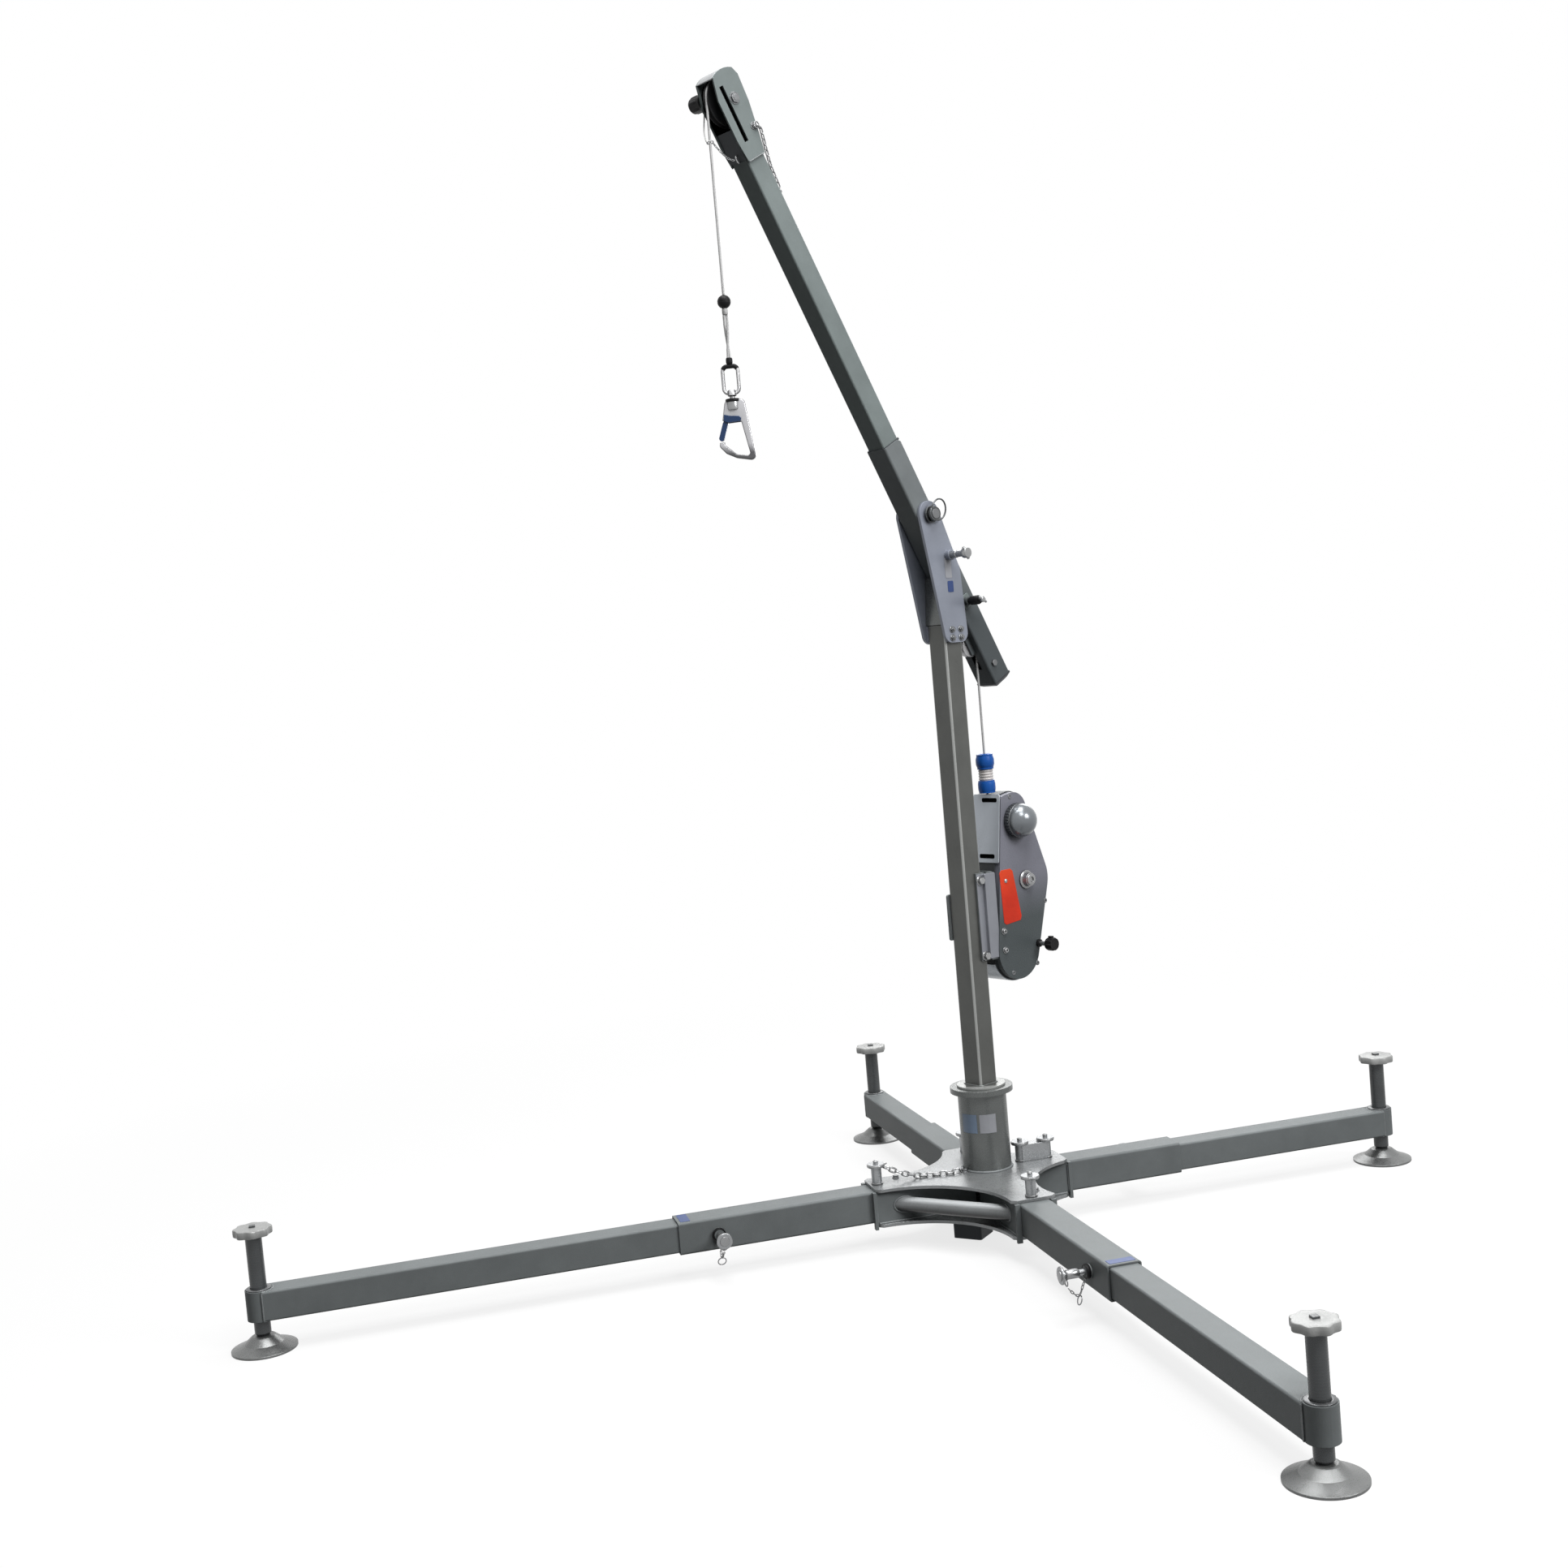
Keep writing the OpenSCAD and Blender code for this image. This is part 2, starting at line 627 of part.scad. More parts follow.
// A knob on a stem, with a pointer that shows how it is turned
module lock_selector() {
    color("black") on_mast() translate([selector_at.x, case_t / 2 + fit, selector_at.y]) rotate([-90, 0, 0]) {
        translate([0, 0, -9]) cylinder(d = 12, h = 44);
        cylinder(d = 20, h = 6);
        translate([0, 0, 34]) cylinder(d = 32, h = 22);
        translate([-4, -21, 38]) cube([8, 21, 12]);
    }
}

module cable_bumpers() {
    waist_z = bumper_rows[0] + bumper_h[0];
    color("blue") on_mast() for (i = [0, 1]) translate([cable_x, 0, bumper_rows[i]])
        ring_of(bumper_d, cable_d + 2, bumper_h[i]);
    color("white") on_mast() translate([cable_x, 0, waist_z])
        ring_of(bumper_d - 8, cable_d + 2, bumper_rows[1] - waist_z);
}

module boom_outer() {
    mid = (outer_hi + outer_lo) / 2;
    color("gray") on_boom() difference() {
        union() {
            beam(-tail_len + tail_cap_t, outer_len) translate([0, mid])
                round_rect(2 * outer_half, outer_hi - outer_lo, 6);
            cross_bar(extension_at.x, extension_at.y, 22, outer_half - 1, outer_half + 12);
            for (s = [-1, 1]) translate([tail_wheel.x - 22, s > 0 ? lug_in : -lug_out, tail_wheel.y - 14])
                cube([44, lug_out - lug_in, 28]);
        }
        beam(-tail_len, outer_len + 1) translate([0, mid])
            round_rect(2 * cavity_half, cavity_hi - cavity_lo, 2);
        translate([outer_len, 0, outer_hi]) rotate([0, 45, 0]) cube([17, 80, 17], center = true);
        translate([tail_wheel.x - tail_slot, -lug_in, outer_lo - 1]) cube([tail_slot + 36, 2 * lug_in, 6]);
        cross_bar(0, 0, pivot_d, -outer_half - 1, outer_half + 1);
        cross_bar(plunger_at.x, plunger_at.y, 16 + 2 * fit, 0, outer_half + 1);
        cross_bar(extension_at.x, extension_at.y, 12 + 2 * fit, 0, outer_half + 13);
        cross_bar(tail_bolt.x, tail_bolt.y, tail_axle_d, -outer_half - 1, outer_half + 1);
        cross_bar(tail_wheel.x, tail_wheel.y, tail_axle_d, -lug_out - 1, lug_out + 1);
    }
}

module boom_tail_cap() {
    depth = outer_hi - outer_lo;
    color("black") on_boom() translate([-tail_len, 0, (outer_hi + outer_lo) / 2]) hull() {
        translate([0, 9 - outer_half, 9 - depth / 2]) cube([tail_cap_t, 2 * outer_half - 18, depth - 18]);
        translate([9, -outer_half, -depth / 2]) cube([tail_cap_t - 9, 2 * outer_half, depth]);
    }
}

module hex_head(x, z, d, y0, y1) { translate([x, y1, z]) rotate([90, 0, 0]) cylinder(d = d, h = y1 - y0, $fn = 6); }

// The axle of the tail pulley and the bolt that stops the cap
module tail_bolts() {
    color("silver") on_boom() {
        cross_bar(tail_wheel.x, tail_wheel.y, tail_axle_d, -lug_out, lug_out);
        cross_bar(tail_bolt.x, tail_bolt.y, tail_axle_d, -outer_half - 2, outer_half + 2);
        for (s = [-1, 1]) hex_head(tail_bolt.x, tail_bolt.y, 17, s > 0 ? outer_half : -outer_half - 6,
            s > 0 ? outer_half + 6 : -outer_half);
    }
}

// Two stub shafts in the walls of the outer tube, with their retaining collars
module boom_pivots() {
    color("silver") on_boom() {
        for (s = [-1, 1]) cross_bar(0, 0, pivot_d, s > 0 ? cavity_half + fit : -plate_out - 10,
            s > 0 ? plate_out + 24 : -cavity_half - fit);
        cross_bar(0, 0, 34, plate_out + fit, plate_out + 6);
        cross_bar(0, 0, 34, -plate_out - 6, -plate_out - fit);
        cross_bar(0, 0, 30, plate_out + 16, plate_out + 22);
    }
}

module grooved_wheel(at, r, half, bore) {
    core = r - rope_r - fit;
    rim = r + 2.5;
    translate([at.x, 0, at.y]) rotate([90, 0, 0]) rotate_extrude($fn = 64) polygon([[bore / 2, -half],
        [rim, -half], [rim, 1.5 - half], [core, -rope_r - fit], [core, rope_r + fit], [rim, half - 1.5],
        [rim, half], [bore / 2, half]]);
}

module tail_pulley() {
    color("silver") on_boom() grooved_wheel(tail_wheel, tail_pulley_r, 8, tail_axle_d + 2 * fit);
}

module boom_plunger() {
    nose = outer_half + fit + 0.5;
    color("silver") on_boom() {
        cross_bar(plunger_at.x, plunger_at.y, 16, nose, plate_out + 58);
        cross_bar(plunger_at.x, plunger_at.y, 24, plate_out + 58, plate_out + 70);
    }
}

module extension_pin() {
    nose = inner_half + fit;
    color("black") on_boom() {
        cross_bar(extension_at.x, extension_at.y, 12, nose, outer_half + 21);
        cross_bar(extension_at.x, extension_at.y, 20, outer_half + 20, outer_half + 48);
    }
}

module boom_inner() {
    color("gray") on_boom() difference() {
        translate([0, 0, -axis_drop]) beam(-inner_tail, inner_end) tube_section(inner_w, inner_w, inner_wall, 5);
        cross_bar(extension_at.x, extension_at.y, 12 + 2 * fit, 0, inner_half + 1);
    }
}

// Cheeks that carry on the sides of the boom and are rounded over the pulley
module head_cheek_outline() {
    polygon(concat([[cheek_foot, inner_lo], [cheek_foot + 50, cheek_front], [head_at.x + 10, cheek_front]],
        arc(head_at, cheek_r, hood_from, hood_to, 6), [[head_at.x + 42, cheek_rear],
        [head_at.x - 20, cheek_rear - 4], [cheek_foot + 35, inner_hi + 8], [cheek_foot, inner_hi]]));
}

module head_cheeks() {
    color("gray") on_boom() difference() {
        for (s = [-1, 1]) slab(s > 0 ? inner_half : -inner_half - cheek_plate_t,
            s > 0 ? inner_half + cheek_plate_t : -inner_half) head_cheek_outline();
        cross_bar(head_at.x, head_at.y, axle_d, -60, 60);
        cross_bar(roller_at.x, roller_at.y, 8, -60, 60);
        cross_bar(keeper_at.x, keeper_at.y, 10 + 2 * fit, -60, 0);
        slab(0, 60) translate([slot_x[0], slot_z[0]]) square([slot_x[1] - slot_x[0], slot_z[1] - slot_z[0]]);
    }
}

// A bent cover over the top of the pulley, between the cheeks
module head_hood() {
    color("gainsboro") on_boom() translate([head_at.x, inner_half, head_at.y]) rotate([90, 0, 0])
        rotate([0, 0, hood_from]) rotate_extrude(angle = hood_to - hood_from, $fn = 96)
            translate([cheek_r - hood_t, 0]) square([hood_t, 2 * inner_half]);
}

module head_pulley() {
    color("dimgray") on_boom() grooved_wheel(head_at, head_pulley_r, 8, axle_d + 2 * fit);
}

// Axles of the pulley and the guide roller, with the spacers and the roller on them
module head_rollers() {
    color("silver") on_boom() {
        out = inner_half + cheek_plate_t;
        cross_bar(head_at.x, head_at.y, axle_d, -out - 7, out + 7);
        cross_bar(roller_at.x, roller_at.y, 8, -out - 7, out + 7);
        for (s = [-1, 1]) {
            hex_head(head_at.x, head_at.y, 24, s > 0 ? out : -out - 6, s > 0 ? out + 6 : -out);
            hex_head(roller_at.x, roller_at.y, 14, s > 0 ? out : -out - 5, s > 0 ? out + 5 : -out);
            cross_bar(head_at.x, head_at.y, axle_d + 10, s > 0 ? 8 + fit : -inner_half,
                s > 0 ? inner_half : -8 - fit);
        }
        cross_bar(roller_at.x, roller_at.y, 2 * roller_r, -inner_half, inner_half);
    }
}

module keeper_pin() {
    out = inner_half + cheek_plate_t;
    color("black") on_boom() {
        cross_bar(keeper_at.x, keeper_at.y, 10, -out - 30, -inner_half + 4);
        cross_bar(keeper_at.x, keeper_at.y, 36, -out - 36, -out - fit);
    }
}

function unit(v) = v / norm(v);
// Points of a ring square to the route at point i, where the route lies in the X and Z plane
function route_ring(p, i, r) =
    let (a = p[max(i - 1, 0)], b = p[min(i + 1, len(p) - 1)], t = unit(b - a))
    [for (j = [0:sides - 1]) [p[i].x - t.y * r * cos(j * 360 / sides), r * sin(j * 360 / sides),
        p[i].y + t.x * r * cos(j * 360 / sides)]];

module cable(route, d) {
    rings = [for (i = [0:len(route) - 1]) route_ring(route, i, d / 2)];
    last = (len(route) - 1) * sides;
    polyhedron(points = [for (g = rings) each g], faces = concat(
        [[for (j = [0:sides - 1]) j]],
        [for (i = [0:len(route) - 2], j = [0:sides - 1]) let (n = (j + 1) % sides)
            each [[i * sides + j, (i + 1) * sides + j, (i + 1) * sides + n],
                [i * sides + j, (i + 1) * sides + n, i * sides + n]]],
        [[for (j = [sides - 1:-1:0]) last + j]]));
}

module cable_run() { color("lightgray") on_mast() cable(run_route, cable_d); }
module cable_boom() { color("lightgray") on_boom() cable(boom_route, cable_d); }

module cable_drop() { color("lightgray") on_mast() cable(drop_route, cable_d); }

// The stop ball, the two strands of the splice and the ferrule over the eye
module rope_end() {
    color("dimgray") on_mast() {
        translate([drop_x, 0, ball_z]) rotate_extrude() intersection() {
            circle(d = ball_d);
            translate([0, -ball_d]) square([ball_d, 2 * ball_d]);
        }
        for (s = [-1, 1]) translate([drop_x + s * (cable_d / 2 + 0.2), 0, splice_z[1]])
            cylinder(d = cable_d, h = splice_z[0] - splice_z[1] + 1);
        translate([drop_x, 0, splice_z[1] - 8]) cylinder(d = 2.6 * cable_d, h = 14);
    }
}

module hook_eye() {
    mid = (eye_z[0] + eye_z[1]) / 2;
    bar = 8;
    color("silver") on_mast() translate([drop_x, 0, mid]) rotate(hook_turn) {
        slab(-bar / 2, bar / 2) difference() {
            round_rect(eye_w, eye_z[0] - eye_z[1] - 1, 13);
            translate([0, 1]) round_rect(eye_w - 2 * bar, eye_z[0] - eye_z[1] - 2 * bar - 3, 6);
        }
        translate([0, 0, hook_top - mid - 12]) cylinder(d = 12, h = eye_z[1] - hook_top + 16);
        translate([0, 0, hook_top - mid - 16]) cylinder(d = 20, h = 5);
    }
}

module hull_of(rounds) { hull() for (c = rounds) translate([c.x, c.y]) circle(c.z, $fn = 32); }

// A straight spine on one side and the gate's gap on the other
module hook_outline() {
    difference() {
        hull_of(bow_outer);
        hull_of(bow_inner);
        translate([6, nose_z]) square([hook_w / 2, gate_hinge.y - 6 - nose_z]);
    }
}

// The hook carries the gate's pin across a slot
module hook_body() {
    slot_half = tongue_t / 2 + fit;
    color("silver") on_hook() {
        difference() {
            union() {
                slab(-hook_t / 2, hook_t / 2) hook_outline();
                translate([0, 0, -32]) cylinder(d = 28, h = 31);
            }
            translate([0, 0, -20]) cylinder(d = 12 + 2 * fit, h = 30);
            translate([0, 0, -20]) cylinder(d = 20 + 2 * fit, h = 9.5);
            slab(-slot_half, slot_half) {
                translate(gate_hinge) circle(7);
                translate([gate_hinge.x - 9, gate_hinge.y - 12]) square([30, 12]);
            }
        }
        cross_bar(gate_hinge.x, gate_hinge.y, gate_pin_d, -slot_half - 1, slot_half + 1);
    }
}

module hook_gate() {
    color("royalblue") on_hook() difference() {
        union() {
            slab(-tongue_t / 2, tongue_t / 2) hull() {
                translate(gate_hinge) circle(5);
                translate(gate_end) circle(5);
            }
            slab(-hook_t / 2 + 2, hook_t / 2 - 2) hull() {
                translate(gate_hinge + [4, -14]) circle(6);
                translate(gate_end) circle(6);
            }
        }
        cross_bar(gate_hinge.x, gate_hinge.y, gate_pin_d + 2 * fit, -hook_t, hook_t);
    }
}

hub_top_plate();
hub_bottom_plate();
hub_arms();
mast_sleeve();
sleeve_bushes();
hub_brace();
skid_box();
leg_outer_tubes();
leg_inner(FL);  // leg_inner_fl
leg_inner(FR);  // leg_inner_fr
leg_inner(BR);  // leg_inner_br
leg_inner(BL);  // leg_inner_bl
jack_screw(FL);  // jack_screw_fl
jack_screw(FR);  // jack_screw_fr
jack_screw(BR);  // jack_screw_br
jack_screw(BL);  // jack_screw_bl
foot_pad(FL);  // foot_pad_fl
foot_pad(FR);  // foot_pad_fr
foot_pad(BR);  // foot_pad_br
foot_pad(BL);  // foot_pad_bl
leg_pin(FL);  // leg_pin_fl
leg_pin(FR);  // leg_pin_fr
leg_pin(BR);  // leg_pin_br
leg_pin(BL);  // leg_pin_bl
hub_pin(FL);  // hub_pin_fl
hub_pin(FR);  // hub_pin_fr
hub_pin(BR);  // hub_pin_br
hub_pin(BL);  // hub_pin_bl
mast_tube();
head_plates();
plate_bolts();
block_bracket();
block_case();
block_cover();
cable_drum();
hand_knob();
lock_selector();
cable_bumpers();
boom_outer();
boom_tail_cap();
tail_bolts();
boom_pivots();
tail_pulley();
boom_plunger();
extension_pin();
boom_inner();
head_cheeks();
head_hood();
head_pulley();
head_rollers();
keeper_pin();
cable_run();
cable_boom();
cable_drop();
rope_end();
hook_eye();
hook_body();
hook_gate();
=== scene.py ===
"""Davit crane: materials, cables, chains, welds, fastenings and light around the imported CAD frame.

Shapes are drawn in millimetres and piece() scales them. The camera, lamps and materials are in metres."""

import math

import bmesh
import bpy
from mathutils import Matrix, Vector, geometry, noise


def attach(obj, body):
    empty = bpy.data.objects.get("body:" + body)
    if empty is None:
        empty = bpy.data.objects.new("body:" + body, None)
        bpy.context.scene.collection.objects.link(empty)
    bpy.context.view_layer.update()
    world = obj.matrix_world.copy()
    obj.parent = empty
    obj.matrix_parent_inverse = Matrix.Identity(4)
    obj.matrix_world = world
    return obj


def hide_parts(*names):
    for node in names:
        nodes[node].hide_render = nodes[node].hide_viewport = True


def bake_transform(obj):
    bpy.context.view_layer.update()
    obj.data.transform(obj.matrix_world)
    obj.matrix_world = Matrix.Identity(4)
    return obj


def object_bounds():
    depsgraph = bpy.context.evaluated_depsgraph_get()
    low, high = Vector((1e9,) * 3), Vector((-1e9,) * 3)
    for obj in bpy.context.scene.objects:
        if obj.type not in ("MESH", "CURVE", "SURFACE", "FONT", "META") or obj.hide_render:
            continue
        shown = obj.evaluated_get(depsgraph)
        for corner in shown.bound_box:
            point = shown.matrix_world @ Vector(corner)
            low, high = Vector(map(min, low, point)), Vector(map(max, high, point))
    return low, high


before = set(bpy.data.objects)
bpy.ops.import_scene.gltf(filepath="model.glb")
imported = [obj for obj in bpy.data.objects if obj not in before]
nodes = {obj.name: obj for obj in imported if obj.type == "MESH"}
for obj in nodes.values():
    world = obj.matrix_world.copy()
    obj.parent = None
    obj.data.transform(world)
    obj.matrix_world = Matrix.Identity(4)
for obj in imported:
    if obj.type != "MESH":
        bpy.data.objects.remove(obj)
cad_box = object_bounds()

# sizes, the same as the CAD's
MM = 0.001
LEGS = ["fl", "fr", "br", "bl"]
LEG_TURN = dict(zip(LEGS, (-45, 45, 135, 225)))
REACH = dict(zip(LEGS, (1815, 1615, 1135, 985)))
TUBE_END = dict(zip(LEGS, (822, 822, 521, 521)))
ARM_LEN = dict(zip(LEGS, (318, 318, 200, 200)))
HUB_PINS = dict(zip(LEGS, ((298,), (298,), (163, 92), (163, 92))))
PIN_SIDE = dict(zip(LEGS, (1, -1, 1, -1)))
BASE_TURN = 19.5
BOOM_ANGLE = 61.5
PIVOT = Vector((62, 0, 1822))
LEG_Z = 108
HUB_TOP = 156.5
CHEEK_OUT = 46.5
BRACE_X, BRACE_R = 205, 20
SLEEVE_R = 62.0
STAR_Z, STAR_R = 281, 41.8
THREAD_PITCH = 6.0
TAIL_WHEEL, TAIL_R = Vector((-360, -32)), 26.0
HEAD_AT, HEAD_R = Vector((1076, 12)), 56.0
ROLLER_AT, ROLLER_R = Vector((1003, 29)), 8
PLUNGER_X, EXTENSION_X = -115, -246
KEEPER_AT = Vector((1098, -19))
CABLE_D = 6.0
ROPE_R = CABLE_D / 2
DRUM_Z = 878
BALL_Z, BALL_D = 2319, 31
HOOK_Z, EYE_Z = 2099, 2143
PLATE_Y = 42.05
BRACKET_Y = 35.1
CASE_Y = 47.0
CASE_FRONT = Vector((-81.3, 925))  # a point on the case's leaning front edge
CASE_LEAN = 7.06
KNOB_AT = Vector((-154, 1034))
SELECTOR_AT = Vector((-205, 706))


# placing
def at(x, y, z):
    return Matrix.Translation((x, y, z))


def turn(angle, axis="Z"):
    return Matrix.Rotation(math.radians(angle), 4, axis)


def polar(radius, angle):
    return radius * math.cos(math.radians(angle)), radius * math.sin(math.radians(angle))


def circle(radius, steps=28):
    return [polar(radius, 360 * i / steps) for i in range(steps)]


def placed(place, outline):
    return [place @ Vector((*p, 0)) for p in outline]


def add_object(name, data):
    made = bpy.data.objects.new(name, data)
    bpy.context.scene.collection.objects.link(made)
    return made


METRES = Matrix.Scale(MM, 4)
HERE = Matrix.Identity(4)
# FACE_Y draws in X and Z with the thickness along Y, FACE_X in Y and Z with the thickness along X
FACE_Y = Matrix(((1, 0, 0, 0), (0, 0, 1, 0), (0, 1, 0, 0), (0, 0, 0, 1)))
FACE_X = Matrix(((0, 0, 1, 0), (1, 0, 0, 0), (0, 1, 0, 0), (0, 0, 0, 1)))
UP = Vector((0, 0, 1))
MAST = at(-306.879, -284.314, 0)
ON_BASE = MAST @ turn(BASE_TURN)
ON_LEG = {k: ON_BASE @ turn(LEG_TURN[k]) for k in LEGS}
ON_BOOM = MAST @ Matrix.Translation(PIVOT) @ turn(-BOOM_ANGLE, "Y")


# camera, as solved from the photograph
CAMERA_AT = Vector((3.0231, 3.0457, 1.5))
AZIMUTH, PITCH, ROLL = 230.32, -3.87, 4.96
LENS = 42.57


def make_camera():
    data = bpy.data.cameras.new("camera")
    data.sensor_width = 36
    data.lens = LENS
    data.clip_end = 100
    camera = add_object("camera", data)
    camera.matrix_world = at(*CAMERA_AT) @ turn(AZIMUTH - 90) @ turn(90 + PITCH, "X") @ turn(-ROLL)
    bpy.context.scene.camera = camera


make_camera()


# materials
class Shading:
    """Short ways to add nodes to one tree. A value is a number, a colour or another node's output."""

    def __init__(self, tree):
        self.tree = tree

    def put(self, value, socket):
        if isinstance(value, bpy.types.NodeSocket):
            self.tree.links.new(value, socket)
        else:
            socket.default_value = value

    def node(self, kind, *values, out=0, **named):
        """Adds a node and returns one of its outputs. Named values go to its inputs or settings of that
        name, the others to its inputs in order."""
        made = self.tree.nodes.new(kind)
        for key, value in named.items():
            if key in made.inputs:
                self.put(value, made.inputs[key])
            else:
                setattr(made, key, value)
        for socket, value in zip(made.inputs, values):
            self.put(value, socket)
        return made.outputs[out]

    def math(self, operation, *values):
        return self.node("ShaderNodeMath", *values, operation=operation)

    def dot(self, a, b):
        return self.node("ShaderNodeVectorMath", a, b, operation="DOT_PRODUCT", out="Value")

    def show(self, value, kind):
        self.put(value, self.tree.nodes.new(kind).inputs["Surface"])

    def spread(self, value, low, high, to_low=0.0, to_high=1.0):
        span = {"Value": value, "From Min": low, "From Max": high, "To Min": to_low, "To Max": to_high}
        return self.node("ShaderNodeMapRange", out="Result", **span)

    def mix(self, factor, a, b):
        made = self.tree.nodes.new("ShaderNodeMix")
        made.data_type = "RGBA"
        for slot, value in ((0, factor), (6, a), (7, b)):
            self.put((*value, 1) if isinstance(value, tuple) else value, made.inputs[slot])
        return made.outputs[2]


def surface(name, colour, metallic=0.0, rough=0.5, vary=0.12, grain=700.0, bump=0.12, wear_and_glint=0.35,
            edge_reflection_colour=None, dirt_and_shade=0.35, specular=0.5, zones=(), reflection_rims=()):
    """A material with broad patches, fine grain, grime and painted shade in its corners, and scuffs and
    painted highlights on its edges.

    A zone is (direction, low, high, colour, share): from low to high metres along the direction the surface
    goes over to that colour. A rim is (direction, low, high, colour): it does so where it turns away from
    the direction."""
    material = bpy.data.materials.new(name)
    material.use_nodes = True
    made = Shading(material.node_tree)
    shader = material.node_tree.nodes["Principled BSDF"].inputs
    shader["Metallic"].default_value = metallic
    shader["Specular IOR Level"].default_value = specular

    def tone(times, plus=0.0):
        return tuple(min(1, c * times + plus) for c in colour)

    where = made.node("ShaderNodeTexCoord", out="Object")
    patches = made.node("ShaderNodeTexNoise", Vector=where, Scale=9.0, Detail=5.0, Roughness=0.6, out="Fac")
    specks = made.node("ShaderNodeTexNoise", Vector=where, Scale=grain, Detail=2.0, out="Fac")
    blotch = made.spread(patches, 0.3, 0.7)
    fine = made.spread(specks, 0.3, 0.7)
    body = made.mix(blotch, tone(1 - vary), tone(1 + vary))
    body = made.mix(made.math("MULTIPLY", fine, 0.35), body, tone(1 - 1.5 * vary))
    for direction, low, high, tint, share in zones:
        body = made.mix(made.spread(made.dot(where, direction), low, high, 0.0, share), body, tint)
    # Painted dark reflection: the colour comes in where the surface turns edge-on to the direction.
    for direction, low, high, tint in reflection_rims:
        facing = made.math("ABSOLUTE", made.dot(where.node.outputs["Normal"], direction))
        body = made.mix(made.spread(facing, low, high, 1.0, 0.0), body, tint)

    soft = made.node("ShaderNodeBevel", samples=4, Radius=0.0016, out="Normal")
    # Edges go lighter: scuffing, and a painted highlight. An edge colour given instead makes them dark, a
    # painted reflection.
    edge = made.spread(made.dot(soft, made.node("ShaderNodeNewGeometry", out="Normal")), 0.995, 0.86)
    edge = made.math("MULTIPLY", edge, made.spread(patches, 0.35, 0.65, 0.25, 1.0))
    body = made.mix(made.math("MULTIPLY", edge, wear_and_glint), body, edge_reflection_colour or tone(1.9, 0.05))
    # Recesses go darker by ambient occlusion: grime, and painted shade.
    open_share = made.node("ShaderNodeAmbientOcclusion", samples=4, Distance=0.018, out="AO")
    body = made.mix(made.spread(open_share, 0.25, 0.8, dirt_and_shade, 0.0), body, tone(0.32))
    made.put(body, shader["Base Color"])

    uneven = made.math("MULTIPLY_ADD", fine, 0.14, rough - 0.07)
    made.put(made.math("ADD", uneven, made.spread(patches, 0.3, 0.7, -0.05, 0.05)), shader["Roughness"])
    raised = made.node("ShaderNodeBump", Strength=bump, Distance=0.0006, Normal=soft,
                       Height=made.math("ADD", fine, blotch), out="Normal")
    made.put(raised, shader["Normal"])
    return material


def corner_highlight_zones():
    """Painted highlight: lighter rounded corners on the square mast, seen as a bright line along it."""
    ways = [Vector((x, y, 0)).normalized() for x in (1, -1) for y in (1, -1)]
    starts = [way.dot(MAST.translation) * MM + 0.0385 for way in ways]
    return [(way, start, start + 0.0007, (0.42, 0.43, 0.42), 0.8) for way, start in zip(ways, starts)]


HOOK_FACE = Vector((1, 1, 0)).normalized()
# Painted shade: the outer boom's lower end goes darker.
TAIL_END_SHADE = [(-UP, -1.72, -1.56, (0.07, 0.08, 0.085), 0.9)]
# Painted highlight along the brace's top and painted shade along its underside.
BRACE_HIGHLIGHT_AND_SHADE = [(UP, 0.117, 0.124, (0.5, 0.52, 0.53), 0.8), (-UP, -0.106, -0.1, (0.03, 0.03, 0.03), 0.7)]
# Painted shade: the block's cover goes darker towards its bottom.
BLOCK_LOW_SHADE = [(-UP, -0.9, -0.78, (0.052, 0.066, 0.064), 0.85)]
# Painted shade round the base of the domed knob.
DOME_BASE_SHADE = [((0, -1, 0), 0.206, 0.226, (0.05, 0.055, 0.06), 0.8)]
ORANGE_TOP = [(UP, 0.84, 0.92, (0.85, 0.1, 0.03), 0.6)]
# Painted shade under the hook's bow.
HOOK_UNDER_SHADE = [(-UP, -1.995, -1.975, (0.03, 0.03, 0.033), 0.85)]
# Painted dark reflections on the rounded edges of the hook and its eye.
HOOK_RIM_REFLECTION = [(HOOK_FACE, 0.66, 0.95, (0.09, 0.09, 0.094))]
EYE_RIM_REFLECTION = [(HOOK_FACE, 0.7, 0.92, (0.11, 0.11, 0.114))]
